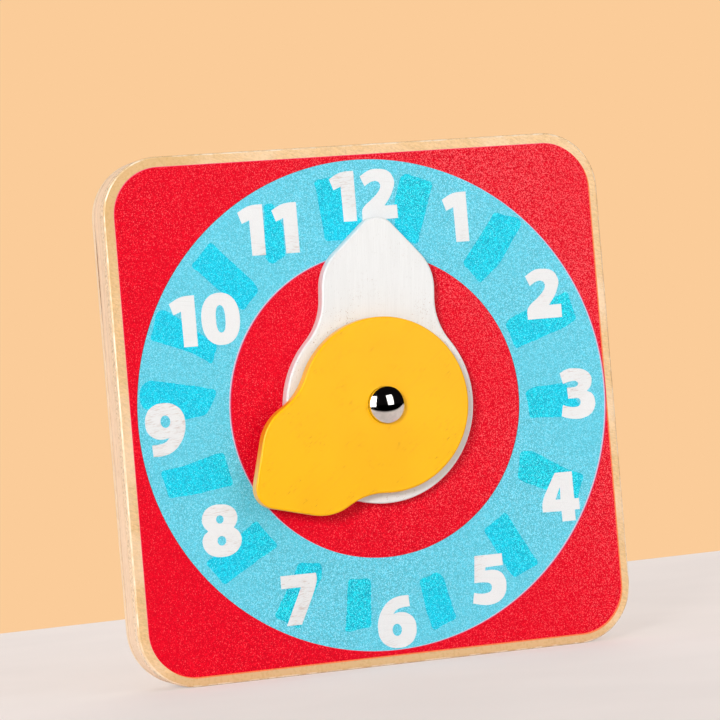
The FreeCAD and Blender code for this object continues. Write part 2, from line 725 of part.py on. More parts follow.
def toothed_face(teeth, module, shift):
    """The face inside an involute gear's outline, with one tooth centred on the x axis."""
    pressure = math.radians(number("pressure_angle"))
    pitch = module * teeth / 2
    base = pitch * math.cos(pressure)
    tip = pitch + module * (1 + shift)
    root = pitch - module * (1.25 - shift)
    foot = max(base, root)

    def half_angle(radius):
        roll = math.acos(min(1.0, base / radius))
        at_pitch = math.pi / 2 / teeth + 2 * shift * math.tan(pressure) / teeth
        return at_pitch + math.tan(pressure) - pressure - (math.tan(roll) - roll)

    def flank(centre, side):
        radii = [foot + (tip - foot) * step / 6 for step in range(7)]
        curve = Part.BSplineCurve()
        curve.interpolate([polar(r, centre + side * half_angle(r)) for r in radii])
        return curve.toShape()

    edges = []
    step = 2 * math.pi / teeth
    at_foot, at_tip = half_angle(foot), half_angle(tip)
    for tooth in range(teeth):
        centre = tooth * step
        if foot > root:
            for side in (-1, 1):
                angle = centre + side * at_foot
                edges.append(Part.LineSegment(polar(root, angle), polar(foot, angle)).toShape())
        edges += [flank(centre, -1), flank(centre, 1)]
        edges.append(Part.Arc(
            polar(tip, centre - at_tip), polar(tip, centre), polar(tip, centre + at_tip)
        ).toShape())
        gap_start, gap_end = centre + at_foot, centre + step - at_foot
        edges.append(Part.Arc(
            polar(root, gap_start), polar(root, centre + step / 2), polar(root, gap_end)
        ).toShape())
    return Part.Face(Part.Wire(Part.__sortEdges__(edges)))


def flatted_face(radius, half):
    """The face of a circle with two flats."""
    disc = Part.Face(Part.Wire(Part.makeCircle(radius)))
    strip = Part.makePlane(2 * radius, 2 * half, FreeCAD.Vector(-radius, -half, 0))
    return disc.common(strip).Faces[0]


def hexagon_face(half):
    """The face of a regular hexagon with a corner on the x axis."""
    reach = half / math.cos(math.pi / HEX_SIDES)
    corners = [polar(reach, 2 * math.pi / HEX_SIDES * side) for side in range(HEX_SIDES)]
    return Part.Face(Part.makePolygon(corners + corners[:1]))


def prism(face, low, high):
    """A face made solid between two levels."""
    solid = face.extrude(FreeCAD.Vector(0, 0, number(high) - number(low)))
    solid.translate(FreeCAD.Vector(0, 0, number(low)))
    return solid


def add_gear(name, shape, frame):
    """Put a toothed shape into the document as the piece of that name."""
    gear = doc.addObject("Part::Feature", name)
    gear.Label = name
    gear.Shape = shape
    gear.Placement = frame
    parts.append(gear)


def bore_face(radius, half, angle):
    """A bore with two flats, turned to meet its shaft."""
    face = flatted_face(number(radius), number(half))
    face.rotate(FreeCAD.Vector(0, 0, 0), FreeCAD.Vector(0, 0, 1), angle)
    return face


def module_of(wheel_teeth):
    """The module that gives a stage the nominal centre distance."""
    return 2 * number("wheel_distance") / (number("pinion_teeth") + number(wheel_teeth))


def web_holes(circle, low, high):
    """The round holes in a wheel's web, as one list of solids."""
    holes = []
    for index in range(WEB_HOLES):
        centre = polar(number(circle), 2 * math.pi / WEB_HOLES * (index + 0.5))
        disc = Part.Face(Part.Wire(Part.makeCircle(number("web_hole_radius"), centre)))
        holes.append(prism(disc, low, high))
    return holes


def make_minute_pinion():
    """Twelve teeth on the minute sleeve, one of them towards the intermediate wheel."""
    teeth = int(number("pinion_teeth"))
    pinion = prism(
        toothed_face(teeth, module_of("idler_teeth"), number("tooth_shift")),
        STAGE_ONE_REAR, STAGE_ONE_FRONT
    )
    bore = bore_face("sleeve_radius", "sleeve_flat", -number("minute_angle"))
    pinion = pinion.cut(prism(bore, STAGE_ONE_REAR, STAGE_ONE_FRONT))
    add_gear("minute_pinion", pinion, DIAL_FRAME)


def make_intermediate_wheel():
    """Thirty-six teeth, with a gap towards the minute pinion and a hexagon bore."""
    teeth = int(number("idler_teeth"))
    half_pitch = 180.0 / teeth
    wheel = prism(
        toothed_face(teeth, module_of("idler_teeth"), -number("tooth_shift")),
        STAGE_ONE_REAR, STAGE_ONE_FRONT
    )
    bore = hexagon_face(number("hex_half"))
    bore.rotate(FreeCAD.Vector(0, 0, 0), FreeCAD.Vector(0, 0, 1), -half_pitch)
    tools = web_holes("idler_web_circle", STAGE_ONE_REAR, STAGE_ONE_FRONT)
    tools.append(prism(bore, STAGE_ONE_REAR, STAGE_ONE_FRONT))
    add_gear("intermediate_wheel", wheel.cut(tools), IDLER_FRAME * turned(half_pitch))


def make_intermediate_pinion():
    """Twelve teeth towards the hour wheel and a hexagon boss that carries the wheel."""
    teeth = int(number("pinion_teeth"))
    pinion = prism(
        toothed_face(teeth, module_of("hour_teeth"), number("tooth_shift")),
        STAGE_TWO_REAR, STAGE_TWO_FRONT
    )
    collar = prism(
        Part.Face(Part.Wire(Part.makeCircle(number("boss_collar")))),
        STAGE_TWO_FRONT, STAGE_ONE_REAR
    )
    front = "%s - end_play" % FLANGE_REAR
    boss = prism(hexagon_face(number("hex_half")), STAGE_ONE_REAR, front)
    bore = prism(
        Part.Face(Part.Wire(Part.makeCircle(number("post_radius + running_gap")))),
        STAGE_TWO_REAR, front
    )
    solid = pinion.fuse([collar, boss]).removeSplitter().cut(bore)
    add_gear("intermediate_pinion", solid, IDLER_FRAME)


def make_hour_wheel():
    """Forty-eight teeth on the hour shaft, with a gap towards the intermediate pinion."""
    teeth = int(number("hour_teeth"))
    half_pitch = 180.0 / teeth
    wheel = prism(
        toothed_face(teeth, module_of("hour_teeth"), -number("tooth_shift")),
        STAGE_TWO_REAR, STAGE_TWO_FRONT
    )
    bore = bore_face("shaft_radius", "shaft_flat", -number("hour_angle") - half_pitch)
    tools = web_holes("hour_web_circle", STAGE_TWO_REAR, STAGE_TWO_FRONT)
    tools.append(prism(bore, STAGE_TWO_REAR, STAGE_TWO_FRONT))
    add_gear("hour_wheel", wheel.cut(tools), DIAL_FRAME * turned(half_pitch))


def make_washers_and_clips():
    """The thin rings that keep the turning pieces in their places."""
    turning = "sleeve_radius + washer_play"
    make_ring("face_washer", turning, "face_washer_rim", "0", "face_washer_thickness", DIAL_FRAME)
    make_ring("hand_spacer", "spindle_radius", "spacer_rim", SPACER_REAR, HOUR_REAR, HOUR_FRAME)
    make_clip("hour_clip", "shaft_radius", HOUR_CLIP_REAR, STAGE_TWO_REAR, HOUR_FRAME)
    flange = "%s + rear_flange" % CAVITY_REAR
    make_ring(
        "thrust_washer", "shaft_radius + washer_play", "rear_flange_radius",
        flange, "%s + washer_thickness" % flange, DIAL_FRAME
    )
    clip_front, clip_rear, _ = post_levels()
    make_ring(
        "intermediate_washer", "post_radius + washer_play", "clip_rim",
        clip_front, "%s + washer_thickness" % clip_front, IDLER_FRAME
    )
    make_clip("intermediate_clip", "post_radius", clip_rear, clip_front, IDLER_FRAME)


def check_document():
    """Stop if any object failed or any piece has no sound shape."""
    for item in doc.Objects:
        if "Invalid" in item.State or "Error" in item.State:
            raise RuntimeError("%s failed: %s" % (item.Label, item.State))
    for piece in parts:
        if piece.Shape.isNull() or not piece.Shape.isValid() or not piece.Shape.Solids:
            raise RuntimeError("%s has no sound shape" % piece.Label)


def export_parts():
    """Write each piece to a file of its own."""
    os.makedirs("parts", exist_ok=True)
    for piece in parts:
        piece.Shape.exportStep(os.path.join("parts", piece.Label + ".step"))
        box = piece.Shape.BoundBox
        print("%-20s solids %d  volume %9.1f  y %7.2f to %7.2f" % (
            piece.Label, len(piece.Shape.Solids), piece.Shape.Volume, box.YMin, box.YMax
        ))


make_front_panel()
make_spacer_frame()
make_back_panel()
make_back_screws()
make_front_bush()
make_rear_bush()
make_friction_spring()
make_minute_sleeve()
make_minute_hand()
make_minute_pinion()
make_intermediate_post()
make_intermediate_pinion()
make_intermediate_wheel()
make_hour_shaft()
make_hour_wheel()
make_hour_hand()
make_dome_nut()
make_washers_and_clips()
doc.recompute()
check_document()
export_parts()
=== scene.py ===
import json
import math
import random

import bmesh
import bpy
from bpy.props import FloatProperty, FloatVectorProperty, PointerProperty
from mathutils import Matrix, Vector

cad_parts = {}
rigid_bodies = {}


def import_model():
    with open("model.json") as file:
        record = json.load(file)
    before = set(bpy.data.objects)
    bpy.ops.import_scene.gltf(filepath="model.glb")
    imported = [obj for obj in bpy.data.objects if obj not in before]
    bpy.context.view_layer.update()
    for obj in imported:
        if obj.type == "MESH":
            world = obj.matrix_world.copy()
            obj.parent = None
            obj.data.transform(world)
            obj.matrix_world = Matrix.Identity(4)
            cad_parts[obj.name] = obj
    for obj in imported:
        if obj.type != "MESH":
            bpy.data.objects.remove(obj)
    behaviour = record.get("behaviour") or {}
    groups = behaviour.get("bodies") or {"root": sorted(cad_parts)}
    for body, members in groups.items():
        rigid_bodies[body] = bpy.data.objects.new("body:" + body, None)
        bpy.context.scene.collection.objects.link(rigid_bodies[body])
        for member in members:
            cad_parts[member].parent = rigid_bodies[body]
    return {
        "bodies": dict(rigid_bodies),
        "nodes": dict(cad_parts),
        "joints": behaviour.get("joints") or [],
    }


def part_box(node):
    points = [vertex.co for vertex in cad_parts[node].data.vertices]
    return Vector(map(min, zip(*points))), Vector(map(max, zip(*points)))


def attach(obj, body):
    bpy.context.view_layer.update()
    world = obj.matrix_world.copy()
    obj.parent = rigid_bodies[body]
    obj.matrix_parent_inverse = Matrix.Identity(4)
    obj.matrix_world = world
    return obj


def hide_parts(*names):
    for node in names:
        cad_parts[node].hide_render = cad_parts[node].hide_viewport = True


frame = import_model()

bl_info = {
    "name": "Teaching clock",
    "version": (1, 0, 0),
    "blender": (4, 5, 0),
    "location": "View3D > Sidebar > Teaching clock",
    "description": "Prints, lacquers and polishes a wooden teaching clock",
    "category": "Object",
}

MM = 0.001

NODES = frame["nodes"]
JOINTS = {joint["name"]: joint for joint in frame["joints"]}
PIVOT = Vector(JOINTS["minute_turn"]["pos_m"])
FACE_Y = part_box("front_panel")[0].y
UPRIGHT = (math.radians(90), 0, 0)
BLACK, WHITE = (0, 0, 0, 1), (1.0, 1.0, 1.0, 1.0)


def tint(red, green, blue):
    """A colour written in steps of 0 to 255, as the linear colour that the sockets take."""
    steps = [value / 255 for value in (red, green, blue)]
    linear = [s / 12.92 if s <= 0.04045 else ((s + 0.055) / 1.055) ** 2.4 for s in steps]
    return (*linear, 1.0)


# ---------------------------------------------------------------- sizes and colours


def length(name, description, default):
    return FloatProperty(
        name=name, description=description, default=default * MM, unit="LENGTH", precision=4
    )


def colour(name, description, red, green, blue):
    return FloatVectorProperty(
        name=name,
        description=description,
        default=tint(red, green, blue),
        size=4,
        min=0,
        max=1,
        subtype="COLOR",
    )


def power(name, description, default):
    return FloatProperty(name=name, description=description, default=default, unit="POWER")


class DialPrint(bpy.types.PropertyGroup):
    field_width: length("Field width", "Width of the red field", 172.8)
    field_height: length("Field height", "Height of the red field", 173.4)
    field_corner: length("Field corner", "Corner radius of the red field", 16.3)
    field_aside: length("Field aside", "How far the field lies to the right of the pivot", -0.97)
    field_above: length("Field above", "How far the field lies above the pivot", 0.06)
    ring_outer: length("Ring outer radius", "Outer radius of the hour ring", 85.0)
    ring_inner: length("Ring inner radius", "Inner radius of the hour ring", 52.9)
    ring_aside: length("Ring aside", "How far the ring lies to the right of the pivot", -0.08)
    ring_above: length("Ring above", "How far the ring lies above the pivot", 0.14)
    bore: length("Bore", "Radius left bare under the hands' washer", 12.3)
    ink: length("Ink step", "How far each coat stands above the one below", 0.03)
    slip: length("Slip", "How far the base coats are out of register", 0.45)
    red: colour("Field red", "Ink of the field", 225, 0, 34)
    cyan: colour("Ring cyan", "Ink of the hour ring", 86, 201, 226)
    deep_cyan: colour("Bar cyan", "Ink of the bars behind the numerals", 0, 202, 246)
    white: colour("Numeral white", "Ink of the numerals", 228, 231, 233)
    base_coat: colour("Base coat", "Pale coat that shows beside the ring", 205, 190, 214)
    overlap: colour("Overlap", "Where the ring's ink lies over the red", 136, 40, 40)
    field_coat: colour("Field base coat", "Warm coat that shows beside the field", 238, 128, 74)
    pink_coat: colour("Pink coat", "Coat that shows at the field's other two sides", 238, 88, 124)
    ring_edge: colour("Ring edge", "Cool red that shows beyond the ring's pale coat", 212, 26, 78)


class WoodAndLacquer(bpy.types.PropertyGroup):
    veneer: colour("Veneer", "Face veneer of the panels", 229, 190, 136)
    # Darker veneer towards the upper left corner.
    darker_corner: colour("Tanned veneer", "Veneer at the upper left corner", 213, 172, 111)
    core: colour("Core plies", "Plies seen along the edge", 250, 225, 196)
    # Partly sanded wood and partly a painted highlight on the rounded front edge.
    sanded: colour("Sanded edge", "Wood laid bare along the rounded front edge", 250, 232, 206)
    glue: colour("Glue lines", "Lines between the plies", 203, 160, 118)
    # Painted shade in the joint in front of the back panel.
    gap: colour("Open joint", "Shade in the joint in front of the back panel", 126, 62, 16)
    frame_wood: colour("Frame wood", "Middle layer of the case", 249, 221, 192)
    minute_paint: colour("Minute lacquer", "Lacquer of the minute hand", 226, 229, 230)
    hour_paint: colour("Hour lacquer", "Lacquer of the hour hand", 248, 184, 0)
    hour_wall: colour("Hour hand's edge", "Lacquer where the edge soaks it up", 240, 134, 14)
    # Painted sheen on the hour hand's edge towards its point.
    hour_wall_sheen: colour("Hour hand's rubbed edge", "Lacquer gone pale at its point", 255, 202, 112)


class DomeShape(bpy.types.PropertyGroup):
    radius: length("Radius", "Radius of the nut's skirt", 6.35)
    cap: length("Cap", "Radius of the sphere that its low cap is part of", 9.2)
    edge: length("Edge", "Round between the skirt and the cap", 0.4)
    lip: length("Lip", "Round at the nut's foot", 0.25)


class StudioSetup(bpy.types.PropertyGroup):
    table: colour("Table", "Colour of the table", 240, 231, 227)
    backdrop: colour("Backdrop", "Colour beyond the table", 251, 204, 153)
    tall_box: power("Tall box", "Power of the box at the reader's right", 4.1)
    soft_left: power("Soft left", "Power of the light from the reader's left", 98.0)
    soft_right: power("Soft right", "Power of the light from the reader's right", 4.1)
    side_sheet: power("Side sheet", "Power of the pale sheet beside the case", 3.7)
    top_sheet: power("Top sheet", "Power of the pale sheet over the table", 5.0)
    wall_glow: power("Wall glow", "Power of the light from the case's right", 1.0)
    rear_sheet: power("Rear sheet", "Power of the pale sheet behind the case", 11.0)
    card: power("Card", "Power of the card that only gloss reflects", 24.0)


# ---------------------------------------------------------------- node trees


def both_ways(operation):
    """A sum as two methods of a wire: one with the wire first, and one with it last."""

    def first(wire, other):
        return wire.bench.reckon(operation, wire, other)

    def last(wire, other):
        return wire.bench.reckon(operation, other, wire)

    return first, last


class Wire:
    """What comes out of one socket, so that sums on it can be written as expressions."""

    def __init__(self, bench, socket):
        self.bench = bench
        self.socket = socket

    __add__, __radd__ = both_ways("ADD")
    __sub__, __rsub__ = both_ways("SUBTRACT")
    __mul__, __rmul__ = both_ways("MULTIPLY")
    __truediv__ = both_ways("DIVIDE")[0]

    def sine(self):
        return self.bench.reckon("SINE", self)

    def cosine(self):
        return self.bench.reckon("COSINE", self)

    def part(self, output):
        """Another output of the same node."""
        return Wire(self.bench, pick(self.socket.node.outputs, output))


def pick(sockets, key):
    """A socket by its number, or by its name."""
    if isinstance(key, int):
        return sockets[key]
    return next(socket for socket in sockets if key in (socket.name, socket.identifier))


class Bench:
    """Lays out the nodes of one tree."""

    def __init__(self, tree):
        self.tree = tree
        tree.nodes.clear()

    def node(self, kind, settings=None, sockets=None, output=0):
        """Adds a node, sets it up, feeds its sockets and hands back one of its outputs."""
        made = self.tree.nodes.new(kind)
        for name, value in (settings or {}).items():
            setattr(made, name, value)
        for key, value in (sockets or {}).items():
            self.feed(pick(made.inputs, key), value)
        return Wire(self, pick(made.outputs, output)) if made.outputs else None

    def feed(self, socket, value):
        wires = value if isinstance(value, list) else [value]
        for wire in reversed(wires):
            if isinstance(wire, Wire):
                self.tree.links.new(wire.socket, socket)
            else:
                socket.default_value = wire

    def reckon(self, operation, *terms):
        """One sum on plain numbers."""
        return self.node("ShaderNodeMath", {"operation": operation}, dict(enumerate(terms)))


class Finish(Bench):
    """One material, laid out on the object's own coordinates."""

    def __init__(self, name):
        self.material = bpy.data.materials.new(name)
        self.material.use_nodes = True
        super().__init__(self.material.node_tree)
        self.place = self.node("ShaderNodeTexCoord", output="Object")
        spread = self.node("ShaderNodeSeparateXYZ", sockets={0: self.place})
        self.across, self.depth, self.up = spread, spread.part("Y"), spread.part("Z")

    def grain(self, size, turn=0, shift=(0, 0, 0), detail=2.0, rough=0.5):
        """Noise with spots of about this size in mm, turned in the dial's plane by some degrees."""
        placed = self.node(
            "ShaderNodeMapping",
            {"vector_type": "TEXTURE"},
            {
                "Vector": self.place,
                "Location": Vector(shift) * MM,
                "Rotation": (0, math.radians(turn), 0),
                "Scale": Vector(size if isinstance(size, tuple) else (size, size, size)) * MM,
            },
        )
        return self.node(
            "ShaderNodeTexNoise",
            {"noise_dimensions": "3D"},
            {"Vector": placed, "Scale": 1.0, "Detail": detail, "Roughness": rough},
        )

    def fade(self, value, low, high, start=0.0, end=1.0):
        """Runs from start to end while the value runs from low to high."""
        return self.node(
            "ShaderNodeMapRange",
            {"clamp": True, "interpolation_type": "SMOOTHSTEP"},
            {"Value": value, "From Min": low, "From Max": high, "To Min": start, "To Max": end},
        )

    def blend(self, factor, first, second):
        """The first colour, and the second one where the factor is 1."""
        return self.node(
            "ShaderNodeMix",
            {"data_type": "RGBA", "clamp_factor": True},
            {0: factor, 6: first, 7: second},
            output=2,
        )

    def varied(self, pattern, low, high, rgba, dark, light):
        """One colour, made darker where the pattern is low and lighter where it is high."""
        return self.blend(self.fade(pattern, low, high), shade(rgba, dark), shade(rgba, light))

    def over(self, base, rgba, pattern, low, high, most):
        """The base with this colour laid over it where the pattern is high."""
        return self.blend(self.fade(pattern, low, high, 0.0, most), base, rgba)

    def relief(self, height, distance):
        """Raises the surface by this many mm where the height is 1."""
        sockets = {"Height": height, "Distance": distance * MM, "Strength": 1.0}
        return self.node("ShaderNodeBump", None, sockets)

    def surface(self, **sockets):
        """Ends the material in one Principled shader."""
        named = {
            name.replace("_", " ").title().replace("Ior", "IOR"): value
            for name, value in sockets.items()
        }
        shader = self.node("ShaderNodeBsdfPrincipled", None, named)
        self.node("ShaderNodeOutputMaterial", None, {"Surface": shader})
        return self.material


def shade(rgba, by):
    """The same colour, made darker or lighter."""
    return (*[min(1.0, value * by) for value in rgba[:3]], 1.0)


# ---------------------------------------------------------------- finishes


# Noise gathers near a half: from where to where a pattern on it comes up.
WIDE, MIDDLE = (0.3, 0.7), (0.35, 0.65)

# Where a finish changes over the clock, in metres: each pair is where a fade starts and ends.
# Painted sheen: where the white over the red field rises to the right.
SHEEN_SLOPE = (-0.055, 0.18)  # rising to the right over the red field
STREAKED_INK = (-0.02, 0.03)  # falling to the left over the numerals
DARKER_CORNER = (0.215, 0.25)  # height less distance to the right
# Painted shade along the case's foot.
SHADED_FOOT = (0.003, 0.007)
FRONT_JOINT = (-3.3 * MM, -1.6 * MM)
# Painted shade in the joint in front of the back panel: its depth, and the heights where it comes
# and goes.
JOINT_SHADE_DEPTH = (3.9 * MM, 4.5 * MM)
JOINT_SHADE_STARTS, JOINT_SHADE_ENDS = (0.120, 0.138), (0.150, 0.160)
OPEN_PORES = (0.112, 0.135)
# Heights where the hour hand's edge turns less orange, and where its painted sheen ends.
DRAINED_WALL, SHEEN_WALL = (0.086, 0.100), (0.068, 0.084)

# Depths below a face.
FACE_VENEER = (0.55 * MM, 0.75 * MM)
ROUND_STARTS, ROUND_ENDS = (0.02 * MM, 0.10 * MM), (0.40 * MM, 0.60 * MM)
LACQUERED_WALL = (0.45 * MM, 0.8 * MM)

TURNING_MARKS = 42000  # radians of their wave for each metre from the axis


def ink_finish(name, ink, mottle, thin, sheen, streaks=0.0, bare=0.0, sheen_slope=False):
    """Printing ink on sanded plywood: the wood's fine texture still shows through it. With a sheen
    slope, the white over the ink rises to the right as a painted sheen.
    """
    finish = Finish(name)
    fine = finish.grain(0.36, detail=1.5, rough=0.6)
    coarse = finish.grain(0.9, shift=(40, 0, 11))
    cloudy = finish.grain(38, shift=(5, 5, 5), detail=1.0)
    fibre = finish.grain((26, 1.0, 0.5), turn=8)
    speckle = finish.fade(fine * 0.75 + coarse * 0.25, 0.38, 0.62)
    base = finish.blend(speckle, shade(ink, 1.0 - mottle), shade(ink, 1.0 + mottle))
    # Painted sheen: more white over the ink towards the right and the top.
    if sheen_slope:
        bare = finish.fade(finish.across + finish.up * 0.6, *SHEEN_SLOPE, -0.095, 0.03)
    base = finish.blend(finish.fade(fine + bare, 0.50, 0.66) * thin, base, WHITE)
    base = finish.over(base, shade(ink, 1.04), cloudy, *WIDE, 0.35)
    base = finish.over(base, shade(ink, 0.80), fibre, 0.60, 0.74, 0.30)
    height = speckle * 0.6 + fibre * 0.4
    if streaks:
        pores = finish.grain((2.4, 0.6, 0.22), turn=-7, shift=(3, 0, 7))
        patches = finish.grain(17, shift=(9, 0, 31), detail=1.0)
        low_left = finish.fade(finish.across * -1 - finish.up * 0.6, *STREAKED_INK)
        gate = finish.fade(patches + low_left * 0.20, 0.48, 0.66)
        streak = finish.fade(pores, 0.56, 0.68) * gate * streaks
        base = finish.blend(streak, base, tint(202, 188, 182))
        height = height - streak * 1.6
    rough = finish.fade(fine, *WIDE, 0.42, 0.58)
    return finish.surface(
        base_color=base,
        roughness=rough,
        specular_ior_level=sheen,
        normal=finish.relief(height, 0.045),
    )


def plain_coat(name, ink):
    """A base coat, which shows as a hairline where the print is out of register."""
    finish = Finish(name)
    speckle = finish.grain(0.5, detail=1.0)
    base = finish.varied(speckle, *MIDDLE, ink, 0.9, 1.08)
    return finish.surface(base_color=base, roughness=0.55, specular_ior_level=0.3)


def ply_finish(name, wood, front, back, plies, printed):
    """Plywood as a solid pattern: face veneers, crossing core plies and thin glue lines."""
    finish = Finish(name)
    thickness = (back - front) / plies
    wander = finish.grain((14, 40, 14)) - 0.5
    layer = (finish.depth - front) / thickness + wander * 0.16
    step = finish.reckon("FRACT", layer)
    odd = finish.reckon("PINGPONG", finish.reckon("FLOOR", layer), 1.0)
    upright = finish.grain((0.7, 0.25, 16), detail=4.0, rough=0.6)
    level = finish.grain((16, 0.25, 0.7), detail=4.0, rough=0.6)
    fibres = upright * odd + level * (1 - odd)
    core = finish.varied(fibres, *WIDE, wood.core, 0.86, 1.05)
    thin, thick = FACE_VENEER
    inner = finish.fade(finish.depth, front + thin, front + thick)
    outer = finish.fade(finish.depth, back - thick, back - thin)
    if printed:
        face_streaks = finish.grain((2.2, 0.3, 0.45), turn=24, detail=3.0, rough=0.65)
        flecks = finish.grain((0.35, 0.3, 2.0), turn=-12, shift=(13, 0, 5))
        patchy = finish.grain(20, shift=(1, 2, 3))
    else:
        face_streaks = finish.grain((0.8, 0.4, 26), turn=1.5, detail=4.0, rough=0.6)
        flecks = finish.grain((0.28, 0.3, 2.6), turn=1, shift=(13, 0, 5), detail=1.0)
        patchy = finish.grain((9, 9, 130), turn=2, shift=(1, 2, 3), detail=3.0, rough=0.6)
    veneer = finish.varied(face_streaks, 0.32, 0.68, wood.veneer, 0.88, 1.07)
    veneer = finish.over(veneer, shade(wood.glue, 0.9), flecks, 0.60, 0.72, 0.35)
    veneer = finish.over(veneer, shade(wood.core, 0.98), patchy, 0.4, 0.7, 0.45)
    if printed:
        # Darker veneer towards the upper left corner.
        corner = finish.fade(finish.up - finish.across, *DARKER_CORNER)
        veneer = finish.blend(corner * 0.85, veneer, wood.darker_corner)
        # Painted shade: the veneer darker along the case's foot.
        foot = finish.fade(finish.up, *SHADED_FOOT, 1.0, 0.0)
        veneer = finish.blend(foot, veneer, shade(wood.veneer, 0.86))
    inside = inner * (1 - outer)
    base = finish.blend(inside, veneer, core)
    seam = finish.fade(step, 0.02, 0.09, 1.0, 0.0) * inside
    broken = finish.fade(finish.grain((5, 1, 5), shift=(3, 3, 3)), 0.36, 0.56, 0.35, 1.0)
    base = finish.blend(seam * broken * 0.45, base, wood.glue)
    charred = finish.fade(finish.grain((1.6, 1.0, 6), shift=(7, 1, 2)), 0.66, 0.74)
    base = finish.blend(charred * inside * 0.12, base, shade(wood.glue, 0.85))
    # The rounded front edge: paler sanded wood and a painted highlight along it, broken in patches.
    sanded = finish.fade(finish.depth, *[front + depth for depth in ROUND_STARTS])
    sanded = sanded * finish.fade(finish.depth, *[front + depth for depth in ROUND_ENDS], 1.0, 0.0)
    wear_and_highlight = finish.fade(finish.grain(4, shift=(9, 2, 0), detail=3.0), 0.40, 0.62, 0.15, 0.85)
    base = finish.blend(sanded * wear_and_highlight, base, wood.sanded)
    edge = finish.fade(finish.grain(1.1, shift=(0, 5, 0)), 0.35, 0.65)
    gloss = finish.fade(edge, 0.0, 1.0, *((0.24, 0.5) if printed else (0.4, 0.6)))
    coat_patches = finish.grain((0.8, 0.8, 2.6), shift=(2, 0, 0), detail=3.0)
    height = fibres * 0.5 + coat_patches * 0.6 - seam * 0.5
    return finish.surface(
        base_color=base,
        roughness=gloss,
        specular_ior_level=0.5,
        coat_weight=finish.fade(wear_and_highlight, 0.1, 0.7, 0.02, 0.35 if printed else 0.1),
        coat_roughness=0.18,
        normal=finish.relief(height, 0.06),
    )


def frame_finish(name, wood):
    """Bare light wood, cut from lengths, with soft growth rings and short pores."""
    finish = Finish(name)
    rings = finish.grain((9, 2.6, 90), turn=3, detail=3.0)
    fibre = finish.grain((0.5, 0.35, 18), detail=4.0, rough=0.65)
    pores = finish.grain((0.22, 0.2, 2.2), shift=(8, 1, 3), detail=1.0)
    base = finish.varied(rings, *MIDDLE, wood.frame_wood, 0.90, 1.05)
    base = finish.over(base, shade(wood.frame_wood, 0.86), fibre, 0.35, 0.70, 0.5)
    base = finish.over(base, shade(wood.glue, 0.95), pores, 0.62, 0.72, 0.7)
    front_joint = finish.fade(finish.depth, *FRONT_JOINT, 1.0, 0.0)
    base = finish.blend(front_joint * 0.8, base, shade(wood.frame_wood, 0.86))
    # Painted shade in the joint in front of the back panel, strongest over a band of the case's
    # height.
    gap = finish.fade(finish.depth, *JOINT_SHADE_DEPTH)
    shade_starts = finish.fade(finish.up, *JOINT_SHADE_STARTS, 0.22, 1.0)
    shade_ends = finish.fade(finish.up, *JOINT_SHADE_ENDS, 1.0, 0.2)
    base = finish.blend(gap * shade_starts * shade_ends, base, wood.gap)
    return finish.surface(
        base_color=base,
        roughness=finish.fade(fibre, *WIDE, 0.42, 0.62),
        specular_ior_level=0.4,
        coat_weight=0.12,
        coat_roughness=0.25,
        normal=finish.relief(fibre * 0.7 - finish.fade(pores, 0.6, 0.72), 0.04),
    )


def white_lacquer(name, wood):
    """Thin white lacquer: the grain is felt through it and a few brown pores stay open."""
    paint = wood.minute_paint
    finish = Finish(name)
    fibre = finish.grain((0.32, 0.3, 9.0), turn=5, detail=3.0, rough=0.6)
    broad = finish.grain((2.4, 2.4, 30.0), turn=4, shift=(6, 0, 0))
    pores = finish.grain((0.3, 0.3, 0.55), turn=32, shift=(4, 2, 9), detail=1.0)
    gather = finish.grain(12, shift=(2, 0, 4), detail=1.0)
    base = finish.varied(fibre, 0.34, 0.66, paint, 0.975, 1.015)
    base = finish.over(base, shade(paint, 0.95), broad, 0.45, 0.7, 0.5)
    low = finish.fade(finish.up, *OPEN_PORES, 1.0, 0.0)
    open_pores = finish.fade(pores, 0.68, 0.73) * finish.fade(gather + low * 0.12, 0.54, 0.66)
    base = finish.blend(open_pores * (0.25 + 0.6 * low), base, tint(150, 104, 74))
    scuffs = finish.grain((0.2, 0.2, 1.6), turn=14, shift=(1, 7, 7), detail=1.0)
    base = finish.over(base, tint(176, 170, 168), scuffs, 0.66, 0.74, 0.35)
    height = fibre * 0.8 + broad * 0.5 - open_pores * 1.2
    return finish.surface(
        base_color=base,
        roughness=finish.fade(fibre, *WIDE, 0.30, 0.46),
        specular_ior_level=0.5,
        coat_weight=0.25,
        coat_roughness=0.12,
        normal=finish.relief(height, 0.045),
    )


